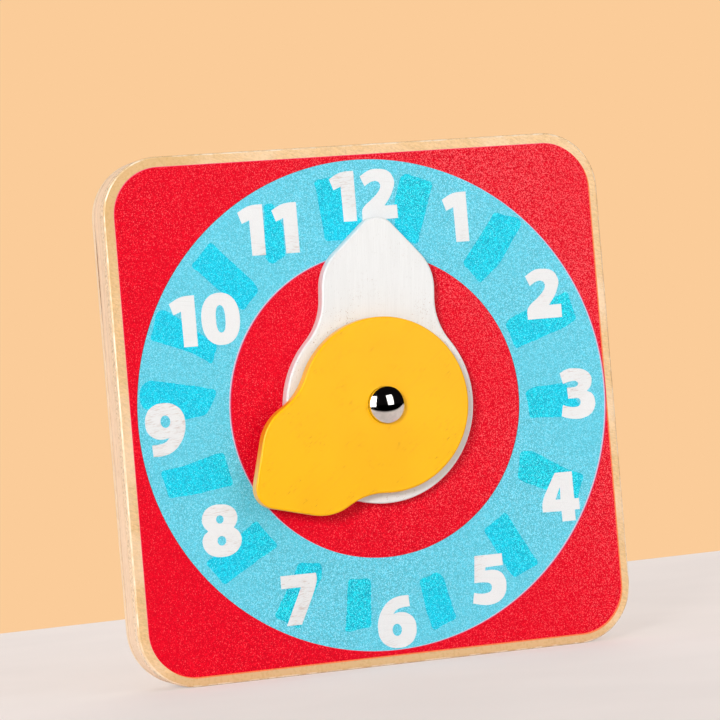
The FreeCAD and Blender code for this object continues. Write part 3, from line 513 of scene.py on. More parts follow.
def yellow_lacquer(name, wood, front):
    """Satin yellow lacquer over the pores of the veneer, which run up to the right."""
    paint = wood.hour_paint
    finish = Finish(name)
    slant = -38
    pores = finish.grain((2.0, 0.3, 0.2), turn=slant, detail=1.5)
    gather = finish.grain((9, 9, 6), turn=slant, shift=(3, 0, 8), detail=1.5)
    fibre = finish.grain((14, 0.4, 0.5), turn=slant, shift=(7, 0, 1), detail=3.0, rough=0.6)
    cloudy = finish.grain(26, detail=1.0)
    base = finish.varied(cloudy, *MIDDLE, paint, 0.97, 1.03)
    base = finish.over(base, tint(240, 170, 22), fibre, 0.56, 0.70, 0.28)
    flecks = finish.fade(pores, 0.635, 0.70) * finish.fade(gather, 0.48, 0.64)
    base = finish.blend(flecks * 0.6, base, tint(184, 120, 20))
    wall = finish.fade(finish.depth, *[front + depth for depth in LACQUERED_WALL])
    soaked = finish.grain((2.0, 0.5, 2.0), shift=(1, 6, 2))
    drained = finish.fade(finish.up, *DRAINED_WALL, 1.0, 0.25)
    soaked = finish.fade(soaked, *WIDE, 0.75, 1.0)
    base = finish.blend(wall * soaked * drained, base, wood.hour_wall)
    # Painted sheen: the edge paler towards the bottom.
    sheened = finish.fade(finish.up, *SHEEN_WALL, 0.8, 0.0)
    base = finish.blend(wall * sheened, base, wood.hour_wall_sheen)
    peel = finish.grain(1.6, shift=(5, 5, 0), detail=1.0)
    height = peel * 0.5 + fibre * 0.3 - flecks * 1.4
    return finish.surface(
        base_color=base,
        roughness=finish.fade(fibre, *WIDE, 0.30, 0.42),
        specular_ior_level=0.22,
        coat_weight=0.06,
        coat_roughness=0.12,
        normal=finish.relief(height, 0.035),
    )


def metal_finish(name, rgba, rough, centre=None):
    """Turned or plated metal: faint rings round the axis where it was turned, and fine wear."""
    finish = Finish(name)
    wear = finish.grain(0.9, detail=4.0, rough=0.7)
    smudge = finish.grain(4, shift=(2, 5, 1))
    base = finish.varied(wear, 0.35, 0.7, rgba, 0.93, 1.04)
    base = finish.over(base, shade(rgba, 0.86), smudge, 0.5, 0.75, 0.4)
    height = wear * 0.25
    if centre is not None:
        aside = finish.across - centre[0]
        above = finish.up - centre[1]
        apart = finish.reckon("SQRT", aside * aside + above * above)
        height = height + (apart * TURNING_MARKS).sine() * 0.12
    return finish.surface(
        base_color=base,
        metallic=1.0,
        roughness=finish.fade(smudge, 0.3, 0.75, rough, rough * 1.7),
        normal=finish.relief(height, 0.006),
    )


def nylon_finish(name, rgba):
    """Moulded nylon: milky, slightly waxy, with faint flow lines."""
    finish = Finish(name)
    flow = finish.grain((3.5, 1.2, 3.5), detail=3.0, rough=0.6)
    dust = finish.grain(0.4, shift=(1, 1, 4), detail=1.0)
    base = finish.varied(flow, *MIDDLE, rgba, 0.95, 1.03)
    base = finish.over(base, shade(rgba, 0.84), dust, 0.62, 0.72, 0.4)
    return finish.surface(
        base_color=base,
        roughness=finish.fade(flow, *WIDE, 0.38, 0.52),
        specular_ior_level=0.45,
        normal=finish.relief(flow * 0.5 + dust * 0.3, 0.02),
    )


def fibre_finish(name, rgba):
    """Vulcanised fibre: dense red-brown board with short paper fibres."""
    finish = Finish(name)
    fibres = finish.grain((1.6, 0.2, 0.25), turn=30, detail=3.0, rough=0.7)
    cross = finish.grain((0.25, 0.2, 1.4), turn=-20, shift=(4, 4, 4))
    weave = fibres * 0.5 + cross * 0.5
    base = finish.varied(weave, *MIDDLE, rgba, 0.75, 1.25)
    return finish.surface(
        base_color=base,
        roughness=finish.fade(weave, *WIDE, 0.5, 0.75),
        specular_ior_level=0.35,
        normal=finish.relief(weave, 0.03),
    )


# ---------------------------------------------------------------- making pieces


def show(piece, body):
    """Puts a finished piece into the scene on its body."""
    if piece.name not in bpy.context.scene.collection.all_objects:
        bpy.context.scene.collection.objects.link(piece)
    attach(piece, body)
    return piece


def dress(node, material):
    """Gives a part of the frame its finish."""
    mesh = NODES[node].data
    mesh.materials.clear()
    mesh.materials.append(material)


SOCKET_KINDS = {
    float: "NodeSocketFloat",
    Vector: "NodeSocketVector",
    bpy.types.Object: "NodeSocketObject",
    bpy.types.Material: "NodeSocketMaterial",
}

WELD = 0.002 * MM  # corners nearer than this are one
FILM_FOOT = 0.05 * MM  # how far a film reaches into the wood


class Jig(Bench):
    """A Geometry Nodes tree with named inputs, which turns out one piece."""

    def __init__(self, name, inputs):
        super().__init__(bpy.data.node_groups.new(name, "GeometryNodeTree"))
        self.name = name
        self.values = {}
        for label, value in inputs.items():
            socket = self.tree.interface.new_socket(
                label, in_out="INPUT", socket_type=SOCKET_KINDS[type(value)]
            )
            self.values[socket.identifier] = value
        self.tree.interface.new_socket(
            "Geometry", in_out="OUTPUT", socket_type="NodeSocketGeometry"
        )
        first = self.node("NodeGroupInput")
        self.input = {label: first.part(label) for label in inputs}

    def turn_out(self, geometry):
        """Runs the tree once and keeps its result as a plain mesh."""
        real = self.node("GeometryNodeRealizeInstances", None, {0: geometry})
        coated = self.node(
            "GeometryNodeSetMaterial", None, {"Geometry": real, "Material": self.input["Material"]}
        )
        self.node("NodeGroupOutput", None, {0: coated})
        carrier = bpy.data.objects.new(self.name + "_carrier", bpy.data.meshes.new("carrier"))
        bpy.context.scene.collection.objects.link(carrier)
        modifier = carrier.modifiers.new(self.name, "NODES")
        modifier.node_group = self.tree
        for identifier, value in self.values.items():
            modifier[identifier] = value
        bpy.context.view_layer.update()
        evaluated = carrier.evaluated_get(bpy.context.evaluated_depsgraph_get())
        mesh = bpy.data.meshes.new_from_object(evaluated)
        carrier.modifiers.clear()
        bpy.data.objects.remove(carrier)
        if not mesh.polygons:
            raise RuntimeError(f"{self.name} came out empty")
        mesh.name = self.name
        set_outwards(mesh)
        return bpy.data.objects.new(self.name, mesh)

    def moved(self, geometry, **sockets):
        return self.node("GeometryNodeTransform", None, {"Geometry": geometry, **sockets})

    def join(self, *parts):
        return self.node("GeometryNodeJoinGeometry", None, {0: list(parts)})

    def weld(self, geometry):
        sockets = {"Geometry": geometry, "Distance": WELD}
        return self.node("GeometryNodeMergeByDistance", None, sockets)

    def circle(self, radius, points=256):
        return self.node(
            "GeometryNodeCurvePrimitiveCircle",
            {"mode": "RADIUS"},
            {"Resolution": points, "Radius": self.input[radius]},
        )

    def shifted(self, geometry):
        """Moves a drawing by the jig's inputs Aside and Above."""
        sockets = {"X": self.input["Aside"], "Y": self.input["Above"]}
        return self.moved(geometry, Translation=self.node("ShaderNodeCombineXYZ", None, sockets))

    def film(self, outlines, height):
        """A coat of ink of these closed outlines, from just inside the wood up to its height.
        It stands on the dial: x of the drawing to the right, y up, z to the reader."""
        face = self.node("GeometryNodeFillCurve", {"mode": "NGONS"}, {0: outlines})
        lowered = self.moved(face, Translation=(0, 0, -FILM_FOOT))
        pull = {"Offset": (0, 0, 1), "Offset Scale": height + FILM_FOOT, "Individual": False}
        raised = self.node("GeometryNodeExtrudeMesh", {"mode": "FACES"}, {"Mesh": lowered, **pull})
        under = self.node("GeometryNodeFlipFaces", None, {0: lowered})
        coat = self.weld(self.join(raised, under))
        return self.moved(coat, Translation=(PIVOT.x, FACE_Y, PIVOT.z), Rotation=UPRIGHT)


def set_outwards(mesh):
    """Merges doubled corners and turns every face outwards."""
    work = bmesh.new()
    work.from_mesh(mesh)
    bmesh.ops.remove_doubles(work, verts=work.verts, dist=WELD / 2)
    bmesh.ops.recalc_face_normals(work, faces=work.faces)
    work.to_mesh(mesh)
    work.free()


def draw_outlines(name, shapes):
    """A flat drawing of closed outlines in metres. A point is (x, y) where the line is smooth,
    and (x, y, 1) at a corner."""
    drawing = bpy.data.curves.new(name, "CURVE")
    drawing.dimensions = "2D"
    drawing.fill_mode = "NONE"
    drawing.resolution_u = 8
    for points in shapes:
        line = drawing.splines.new("BEZIER")
        line.bezier_points.add(len(points) - 1)
        line.use_cyclic_u = True
        for knot, point in zip(line.bezier_points, points):
            knot.co = (point[0], point[1], 0)
            kind = "VECTOR" if len(point) > 2 else "AUTO"
            knot.handle_left_type = kind
            knot.handle_right_type = kind
    sheet = bpy.data.objects.new(name, drawing)
    bpy.context.scene.collection.objects.link(sheet)
    return sheet


def print_coats(dial, sizes, aside, above, fall, coats, outline):
    """Prints coats of ink over one another. Each coat has its height in ink steps and how far it
    is out of register, in slips; it lies aside by that much, and below by this share of it."""
    for name, steps, slips, material in coats:
        slip = slips * dial.slip
        place = {"Aside": aside + slip, "Above": above - fall * slip}
        jig = Jig(name, {**sizes, **place, "Coat": dial.ink * steps, "Material": material})
        show(jig.turn_out(jig.film(outline(jig), jig.input["Coat"])), "case")


def print_film(name, shapes, height, material):
    """Prints a drawing on the dial as one coat of ink."""
    sheet = draw_outlines(name + "_drawing", shapes)
    jig = Jig(name, {"Drawing": sheet, "Height": height, "Material": material})
    drawing = jig.node(
        "GeometryNodeObjectInfo",
        {"transform_space": "ORIGINAL"},
        {"Object": jig.input["Drawing"]},
        output="Geometry",
    )
    piece = jig.turn_out(jig.film(drawing, jig.input["Height"]))
    bpy.data.objects.remove(sheet)
    show(piece, "case")


# ---------------------------------------------------------------- numerals and bars, in mm


def oval(x, y, half_width, half_height, fullness=2.0, points=12):
    """A closed smooth outline round a centre; a fullness above 2 squares it."""
    outline = []
    for step in range(points):
        angle = 2 * math.pi * step / points
        c, s = math.cos(angle), math.sin(angle)
        outline.append(
            (
                x + half_width * math.copysign(abs(c) ** (2 / fullness), c),
                y + half_height * math.copysign(abs(s) ** (2 / fullness), s),
            )
        )
    return outline


SIX = [
    [
        (4.8, 8.5, 1), (5.0, 4.6, 1), (2.1, 4.4), (0, 3.75), (-1.25, 2.5, 1), (1.25, 2.9),
        (4.2, 2.1), (6.25, 0), (6.8, -2.9), (6.25, -5.8), (4.2, -8.3), (0, -9.4), (-4.2, -8.3),
        (-6.5, -5.8), (-7.2, -2.5), (-6.7, 1.25), (-5.0, 4.6), (-2.1, 7.3), (1.25, 8.4),
    ],
    oval(-0.3, -3.1, 1.7, 2.1),
]
# The nine is the six turned over about this point.
SIX_X, SIX_Y = -0.2, -0.4

NUMERALS = {
    "0": [oval(0, 0, 6.8, 8.9, fullness=2.25, points=20), oval(0, 0, 1.67, 4.7, fullness=2.4)],
    "1": [
        [
            (-4.9, 6.3, 1), (-1.9, 7.9), (0, 8.5), (4.1, 8.7, 1), (4.1, -8.7, 1), (-0.75, -8.7, 1),
            (-0.9, 3.5, 1), (-3.6, 2.4, 1),
        ]
    ],
    "2": [
        [
            (-6.3, 6.5, 1), (-2.5, 8.5), (0, 8.75), (4.2, 7.7), (5.8, 5.4), (6.1, 3.5), (5.4, 1.25),
            (4.4, -0.8), (1.9, -4.15, 1), (6.45, -4.1, 1), (6.45, -8.75, 1), (-6.5, -8.8, 1),
            (-6.5, -5.8, 1), (-6.0, -4.6), (-2.1, -1.25), (0, 0.8), (0.9, 2.5), (0.8, 3.5),
            (0, 4.4), (-1.9, 4.5), (-4.8, 3.0, 1),
        ]
    ],
    "3": [
        [
            (-6.25, 7.5, 1), (-3.3, 8.75), (-0.4, 8.8), (3.3, 7.9), (5.4, 5.8), (5.6, 4.2),
            (5.0, 2.1), (3.5, 0.5, 1), (5.4, -0.6), (6.3, -3.3), (5.8, -5.8), (4.2, -7.7),
            (1.25, -8.9), (-1.7, -9.0), (-4.6, -8.5), (-6.8, -7.7, 1), (-6.0, -3.75, 1),
            (-4.2, -4.4), (-1.7, -4.8), (0.2, -4.4), (0.8, -3.1), (0.2, -1.9), (-1.7, -1.7),
            (-3.8, -1.7, 1), (-3.95, 2.2, 1), (-1.7, 2.2), (-0.2, 2.5), (0.4, 3.3), (-0.2, 4.2),
            (-2.1, 4.4), (-5.3, 3.7, 1),
        ]
    ],
    "4": [
        [
            (-1.25, 7.7, 1), (5.2, 7.7, 1), (5.3, -1.9, 1), (7.1, -1.9, 1), (7.1, -5.8, 1),
            (5.2, -5.8, 1), (5.2, -9.6, 1), (0.2, -9.6, 1), (0.2, -5.9, 1), (-6.9, -5.75, 1),
            (-6.9, -3.1, 1), (-6.25, -1.0), (-3.75, 3.5),
        ],
        [(0.25, 2.6, 1), (0.15, -1.75, 1), (-1.8, -1.75, 1)],
    ],
    "5": [
        [
            (-4.8, 8.5, 1), (5.4, 8.5, 1), (5.5, 4.4, 1), (-1.0, 4.2, 1), (-1.25, 3.1, 1),
            (2.1, 3.0), (4.6, 1.9), (6.0, -0.4), (6.2, -2.9), (5.4, -5.8), (3.3, -7.9), (0, -8.9),
            (-2.9, -8.8), (-6.7, -7.9, 1), (-6.0, -4.25, 1), (-4.2, -4.7), (-1.7, -4.8),
            (0.2, -4.2), (0.75, -2.8), (0.2, -1.6), (-1.7, -1.0), (-5.6, -0.9, 1),
        ]
    ],
    "6": SIX,
    "7": [
        [
            (-6.7, 8.5, 1), (6.0, 8.5, 1), (6.25, 6.7), (5.8, 4.6), (-0.4, -8.7, 1),
            (-5.8, -8.7, 1), (0.2, 3.8, 1), (0.2, 4.1, 1), (-6.75, 4.1, 1),
        ]
    ],
    "8": [
        [
            (-0.4, 8.0), (4.2, 6.7), (5.8, 3.75), (5.4, 1.5), (4.3, -0.2, 1), (6.0, -1.9),
            (6.7, -4.2), (5.8, -7.1), (3.3, -9.2), (-0.2, -9.9), (-4.0, -9.2), (-6.25, -7.3),
            (-7.1, -4.6), (-6.5, -2.3), (-4.8, -0.8, 1), (-6.25, 1.0), (-6.7, 3.3), (-5.6, 6.0),
            (-3.3, 7.6),
        ],
        oval(-0.4, 2.9, 1.33, 1.42),
        oval(-0.3, -4.4, 1.54, 1.63),
    ],
    "9": [
        [(2 * SIX_X - x, 2 * SIX_Y - y, *corner) for x, y, *corner in line]
        for line in SIX
    ],
}

NUMERAL_PLACES = [
    ("1", -5.6, 72.7), ("2", 7.0, 72.8), ("1", 35, 63), ("2", 65, 34), ("3", 75, -2),
    ("4", 65, -37), ("5", 36, -64), ("6", 1, -75), ("7", -33, -64), ("8", -59, -37),
    ("9", -75.5, -1.66), ("1", -66.1, 33.9), ("0", -53.25, 33.9), ("1", -39.4, 63.25),
    ("1", -27.2, 63.25),
]

# Corners of the bars: degrees clockwise from twelve, and distance from the pivot.
BARS = [
    [(-11.4, 80.3), (-4.5, 80.5), (-1.5, 66.5), (0.2, 63.5), (-6, 58), (-13.2, 59.4)],
    [(12.5, 81.3), (19.9, 80.3), (20, 58), (11.5, 59), (10.3, 71), (11.2, 79.5)],
    [(37.8, 80.6), (40.3, 81.9), (43.75, 84.4), (45.1, 83.3), (46.6, 72.5), (47.4, 66.8),
     (46.6, 57.3), (43.75, 57.7), (37.5, 59)],
    [(65.3, 81.6), (72.5, 80.6), (73.4, 74.9), (73.75, 55.3), (63.75, 55.6), (63.25, 60)],
    [(88.4, 70.5), (98, 79), (98.3, 68.8), (99.25, 57), (90, 55.3), (88.4, 59.4)],
    [(112.5, 80.8), (119, 81.5), (120.1, 69.8), (121.25, 61), (120.9, 58), (111.9, 55.6),
     (110.4, 59.7), (112.5, 74.9)],
    [(137.7, 81.6), (144.7, 78.9), (144.9, 74.9), (142.8, 58.7), (133.1, 60.4)],
    [(163.4, 79.6), (170, 80.9), (170.75, 73.5), (170.6, 62.7), (164.1, 62), (162.7, 64.7)],
    [(186.4, 76.5), (193.25, 79), (194.7, 61), (187.5, 59.9), (186.9, 61.4)],
    [(205, 81.7), (211.9, 81.3), (212.3, 61), (205.5, 58), (203.6, 62)],
    [(226.6, 82.1), (233.6, 81.5), (232.8, 64.7), (232.5, 58.7), (225, 59.3), (221.4, 60)],
    [(251.6, 80.5), (258.4, 80.3), (258.1, 71.5), (258.75, 59.7), (258.1, 57.2), (246.9, 58.3),
     (249.4, 70.1)],
    [(274.1, 83.3), (276.6, 84.5), (279, 84), (280.6, 81.6), (280.5, 64.7), (279.7, 57.7),
     (275.6, 58.7), (271.6, 61.4), (270.6, 68.8)],
    [(290.1, 83.5), (296.6, 84.3), (297.8, 82.6), (297.5, 78), (294.4, 60.7), (288.1, 60.7),
     (289.7, 68.1)],
    [(310.3, 81.4), (317.8, 81.3), (318.4, 61.4), (317.5, 57.7), (308.75, 57.7), (309.7, 72.2)],
    [(334.3, 79.6), (336.4, 78.5), (336, 70), (332, 60.7), (326.9, 61.1), (326.25, 64.1)],
]


def softened(corners, seed, radius=0.55, ragged=0.10, spacing=2.5):
    """A bar's outline with its corners just rounded and its long sides a little ragged."""
    rough = random.Random(seed)
    outline = []
    for number, here in enumerate(corners):
        here = Vector(here)
        to_before = Vector(corners[number - 1]) - here
        to_after = Vector(corners[(number + 1) % len(corners)]) - here
        for side in (to_before, to_after):
            outline.append((here + side.normalized() * min(radius, side.length / 3)).to_tuple())
        steps = int(to_after.length // spacing)
        for step in range(1, steps):
            point = here + to_after * step / steps
            aside = Vector((-to_after.y, to_after.x)).normalized() * rough.uniform(-ragged, ragged)
            outline.append((point + aside).to_tuple())
    return outline


def in_metres(outline, x=0.0, y=0.0):
    """An outline in mm, moved by x and y and turned to metres, with its corner marks kept."""
    return [((px + x) * MM, (py + y) * MM, *corner) for px, py, *corner in outline]


# ---------------------------------------------------------------- operators


class CLOCK_OT_case(bpy.types.Operator):
    """Finish the three wooden layers of the case"""

    bl_idname = "teaching_clock.case"
    bl_label = "Wooden case"

    def execute(self, context):
        wood = context.scene.clock_wood
        low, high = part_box("front_panel")
        dress("front_panel", ply_finish("printed_ply", wood, low.y, high.y, 5, printed=True))
        dress("spacer_frame", frame_finish("frame_wood", wood))
        low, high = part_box("back_panel")
        dress("back_panel", ply_finish("back_ply", wood, low.y, high.y, 3, printed=False))
        return {"FINISHED"}


class CLOCK_OT_field(bpy.types.Operator):
    """Print the red field with its base coats"""

    bl_idname = "teaching_clock.field"
    bl_label = "Red field"

    def execute(self, context):
        dial = context.scene.clock_dial
        red = ink_finish("red_ink", dial.red, mottle=0.20, thin=0.125, sheen=0.07, sheen_slope=True)
        coats = [
            ("field_pink_coat", 0.3, -0.45, plain_coat("field_pink_coat", dial.pink_coat)),
            ("field_base_coat", 0.5, 1.0, plain_coat("field_base_coat", dial.field_coat)),
            ("red_field", 1.0, 0.0, red),
        ]
        sizes = {
            "Width": dial.field_width,
            "Height": dial.field_height,
            "Corner": dial.field_corner,
            "Bore": dial.bore,
        }
        print_coats(dial, sizes, dial.field_aside, dial.field_above, 1.0, coats, self.outline)
        return {"FINISHED"}

    @staticmethod
    def outline(jig):
        sides = {"Width": jig.input["Width"], "Height": jig.input["Height"]}
        sheet = jig.node("GeometryNodeCurvePrimitiveQuadrilateral", {"mode": "RECTANGLE"}, sides)
        corners = {"Curve": sheet, "Radius": jig.input["Corner"], "Count": 20}
        rounded = jig.node("GeometryNodeFilletCurve", {"mode": "POLY"}, corners)
        return jig.join(jig.shifted(rounded), jig.circle("Bore", 96))


class CLOCK_OT_ring(bpy.types.Operator):
    """Print the cyan hour ring with its base coats"""

    bl_idname = "teaching_clock.ring"
    bl_label = "Hour ring"

    def execute(self, context):
        dial = context.scene.clock_dial
        coats = [
            ("ring_edge_coat", 1.2, 1.9, plain_coat("ring_edge_coat", dial.ring_edge)),
            ("ring_base_coat", 1.4, 1.0, plain_coat("ring_base_coat", dial.base_coat)),
            ("ring_overlap", 1.7, -0.4, plain_coat("ring_overlap", dial.overlap)),
        ]
        cyan = ink_finish("cyan_ink", dial.cyan, mottle=0.25, thin=0.22, sheen=0.3)
        coats.append(("hour_ring", 2.0, 0.0, cyan))
        sizes = {"Outer radius": dial.ring_outer, "Inner radius": dial.ring_inner}
        print_coats(dial, sizes, dial.ring_aside, dial.ring_above, 0.35, coats, self.outline)
        return {"FINISHED"}

    @staticmethod
    def outline(jig):
        return jig.shifted(jig.join(jig.circle("Outer radius"), jig.circle("Inner radius")))


class CLOCK_OT_bars(bpy.types.Operator):
    """Print the sixteen deeper bars on the hour ring"""

    bl_idname = "teaching_clock.bars"
    bl_label = "Ring bars"

    def execute(self, context):
        dial = context.scene.clock_dial
        outlines = []
        for number, bar in enumerate(BARS):
            corners = [
                (reach * math.sin(math.radians(turn)), reach * math.cos(math.radians(turn)))
                for turn, reach in bar
            ]
            outlines.append(in_metres(softened(corners, seed=number)))
        look = {"mottle": 0.46, "thin": 0.27, "sheen": 0.2, "bare": -0.06}
        deep = ink_finish("deep_cyan_ink", dial.deep_cyan, **look)
        print_film("ring_bars", outlines, dial.ink * 3, deep)
        return {"FINISHED"}


class CLOCK_OT_numerals(bpy.types.Operator):
    """Print the numerals from 1 to 12"""

    bl_idname = "teaching_clock.numerals"
    bl_label = "Numerals"

    def execute(self, context):
        dial = context.scene.clock_dial
        outlines = [
            in_metres(line, x, y) for figure, x, y in NUMERAL_PLACES for line in NUMERALS[figure]
        ]
        white = ink_finish("white_ink", dial.white, mottle=0.03, thin=0.0, sheen=0.3, streaks=0.75)
        print_film("numerals", outlines, dial.ink * 4, white)
        return {"FINISHED"}


class CLOCK_OT_minute_hand(bpy.types.Operator):
    """Lacquer the minute hand"""

    bl_idname = "teaching_clock.minute_hand"
    bl_label = "Minute hand"

    def execute(self, context):
        dress("minute_hand", white_lacquer("white_ply", context.scene.clock_wood))
        return {"FINISHED"}


class CLOCK_OT_hour_hand(bpy.types.Operator):
    """Lacquer the hour hand"""

    bl_idname = "teaching_clock.hour_hand"
    bl_label = "Hour hand"

    def execute(self, context):
        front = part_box("hour_hand")[0].y
        dress("hour_hand", yellow_lacquer("yellow_ply", context.scene.clock_wood, front))
        return {"FINISHED"}


class CLOCK_OT_dome(bpy.types.Operator):
    """Turn and polish the dome nut"""

    bl_idname = "teaching_clock.dome"
    bl_label = "Dome nut"

    def execute(self, context):
        dome = context.scene.clock_dome
        low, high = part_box("dome_nut")
        polish = Finish("dome_nickel")
        haze = polish.grain(1.4, detail=3.0, rough=0.6)
        lines = polish.grain((0.12, 0.12, 3.0), turn=25)
        dull, bright = tint(222, 219, 216), tint(236, 233, 230)
        nickel = polish.blend(polish.fade(haze, 0.35, 0.7), dull, bright)
        material = polish.surface(
            base_color=nickel,
            metallic=1.0,
            roughness=polish.fade(haze, 0.3, 0.75, 0.035, 0.09),
            normal=polish.relief(haze * 0.6 + lines * 0.15, 0.0035),
        )
        jig = Jig(
            "dome",
            {
                "Radius": dome.radius,
                "Cap": dome.cap,
                "Edge": dome.edge,
                "Lip": dome.lip,
                "Length": high.y - low.y,
                "Centre": Vector((PIVOT.x, high.y, PIVOT.z)),
                "Material": material,
            },
        )
        radius, cap, edge = jig.input["Radius"], jig.input["Cap"], jig.input["Edge"]
        lip, tall = jig.input["Lip"], jig.input["Length"]
        # A sheet of one by one: round the axis along its x, up the profile along its y.
        grid = {"Size X": 1.0, "Size Y": 1.0, "Vertices X": 145, "Vertices Y": 121}
        sheet = jig.node("GeometryNodeMeshGrid", None, grid)
        spot = jig.node("ShaderNodeSeparateXYZ", None, {0: jig.node("GeometryNodeInputPosition")})
        angle = (spot + 0.5) * (2 * math.pi)
        along = (spot.part("Y") + 0.5) * 5.0
        # The profile has five stretches: foot, lip, skirt, edge round, and the cap up to its top.
        foot, lip_turn, skirt, edge_turn, crown = [
            jig.node("ShaderNodeClamp", None, {"Value": along - stretch}) for stretch in range(5)
        ]
        lean = jig.reckon("ARCSINE", (radius - edge) / (cap - edge))
        drop = jig.reckon("SQRT", (cap - edge) * (cap - edge) - (radius - edge) * (radius - edge))
        skirt_top = tall - cap + drop
        lip_turn = lip_turn * (math.pi / 2)
        edge_turn = edge_turn * (math.pi / 2 - lean)
        left = lean * (1 - crown)
        rise = lip * (1 - lip_turn.cosine()) + skirt * (skirt_top - lip) + edge * edge_turn.sine()
        rise = rise + cap * (left.cosine() - lean.cosine())
        reach = foot * (radius - lip) + lip * lip_turn.sine() - edge * (1 - edge_turn.cosine())
        reach = reach + cap * (left.sine() - lean.sine())
        spun = {"X": reach * angle.cosine(), "Y": reach * angle.sine(), "Z": rise}
        wrapped = jig.node("ShaderNodeCombineXYZ", None, spun)
        skin = jig.node("GeometryNodeSetPosition", None, {"Geometry": sheet, "Position": wrapped})
        smooth = {"Geometry": jig.weld(skin), "Shade Smooth": True}
        skin = jig.node("GeometryNodeSetShadeSmooth", None, smooth)
        placed = jig.moved(skin, Translation=jig.input["Centre"], Rotation=UPRIGHT)
        piece = show(jig.turn_out(placed), "hour_group")
        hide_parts("dome_nut")
        return {"FINISHED"}


class CLOCK_OT_works(bpy.types.Operator):
    """Finish the gears, shafts, bearings, washers and fasteners"""

    bl_idname = "teaching_clock.works"
    bl_label = "Works and fasteners"

    def execute(self, context):
        centre = (PIVOT.x, PIVOT.z)
        post = JOINTS["intermediate_turn"]["pos_m"]
        steel = tint(190, 192, 194)
        finishes = [
            (
                nylon_finish("gear_nylon", tint(238, 232, 219)),
                ["minute_pinion", "intermediate_wheel", "intermediate_pinion", "hour_wheel"],
            ),
            (nylon_finish("bush_nylon", tint(229, 226, 216)), ["front_bush", "rear_bush"]),
            (metal_finish("pin_steel", steel, 0.22, centre), ["hour_shaft", "hand_spacer"]),
            (metal_finish("post_steel", steel, 0.22, (post[0], post[2])), ["intermediate_post"]),
            (
                metal_finish("spring_steel", tint(112, 116, 128), 0.30),
                ["friction_spring", "hour_clip", "intermediate_clip"],
            ),
            (metal_finish("sleeve_brass", tint(214, 178, 98), 0.20, centre), ["minute_sleeve"]),
            (metal_finish("screw_steel", tint(202, 203, 199), 0.28), ["back_screws"]),
            (
                fibre_finish("washer_fibre", tint(122, 70, 48)),
                ["face_washer", "thrust_washer", "intermediate_washer"],
            ),
        ]
        for material, nodes in finishes:
            for node in nodes:
                dress(node, material)
        return {"FINISHED"}


# ---------------------------------------------------------------- stage

LENS = 159.78
CAMERA_PLACE = Vector((-0.34785, -1.05729, 0.10591))
CAMERA_RIGHT = Vector((0.946832, -0.310889, -0.082805))
CAMERA_UP = Vector((0.078628, -0.025968, 0.996566))
CAMERA_BACK = Vector((-0.311971, -0.950091, -0.000143))
CAMERA_SHIFT = (0.0001, -0.0003)
# The table's far edge runs through these two points. Nearer than its near end it isn't mirrored.
TABLE_EDGE = (Vector((-0.0707, 0.3196, 0)), Vector((0.2903, 0.3554, 0)))
NEAR_END = (-0.20, -0.14)

# What the room sends to the clock, what its polish mirrors, and what the camera sees.
ROOM_COLOURS = [
    ((1.0, 0.93, 0.85, 1), 0.13),
    ((1.0, 0.85, 0.9, 1), 0.005),
    (tint(236, 229, 224), 1.0),
]

LAMP_COLOUR = (1, 0.99, 0.98)

# Soft boxes: direction from the pivot, distance, sides, and whether each one lights the clock or
# only shows in its gloss.
LAMPS = {
    "tall_box": ((0.36, -0.87, 0.31), 1.3, (0.62, 0.95), False),
    "soft_left": ((-0.55, -0.79, 0.25), 4.0, (0.9, 0.9), True),
    "soft_right": ((0.55, -0.78, 0.30), 1.3, (0.62, 0.95), True),
    "side_sheet": ((-0.98, 0.17, 0.22), 1.2, (0.9, 0.5), True),
    "top_sheet": ((-0.10, -0.16, 0.98), 1.3, (1.0, 1.0), True),
    "wall_glow": ((0.95, -0.15, 0.25), 1.2, (0.6, 0.5), True),
    "rear_sheet": ((0.35, 0.90, 0.35), 1.3, (1.2, 1.0), True),
    "card": ((-0.835, -0.511, 0.22), 1.3, (0.75, 1.2), False),
}


def table_finish(stage):
    """The plain table, and the plain backdrop beyond its far edge."""
    finish = Finish("table_and_backdrop")
    first, second = TABLE_EDGE
    run = (second - first).normalized()
    beyond = (finish.depth - first.y) * run.x - (finish.across - first.x) * run.y
    far = finish.fade(beyond, -0.001, 0.001)
    paper = finish.grain(60)
    table = finish.varied(paper, *WIDE, stage.table, 0.985, 1.01)
    base = finish.blend(far, table, stage.backdrop)
    matt = {"Base Color": base, "Roughness": 0.85, "Specular IOR Level": 0.1}
    shader = finish.node("ShaderNodeBsdfPrincipled", None, matt)
    glow = finish.node("ShaderNodeEmission", None, {"Color": base, "Strength": 1.0})
    rays = finish.node("ShaderNodeLightPath", output="Is Camera Ray")
    seen = finish.fade(far, 0.0, 1.0, 0.5, 1.0) * rays
    mixed = finish.node("ShaderNodeMixShader", None, {0: seen, 1: shader, 2: glow})
    unlit = finish.node("ShaderNodeEmission", None, {"Color": BLACK, "Strength": 0.0})
    near = finish.fade(finish.depth, *NEAR_END, 1.0, 0.0)
    hidden = near * rays.part("Is Glossy Ray")
    mixed = finish.node("ShaderNodeMixShader", None, {0: hidden, 1: mixed, 2: unlit})
    finish.node("ShaderNodeOutputMaterial", None, {"Surface": mixed})
    return finish.material


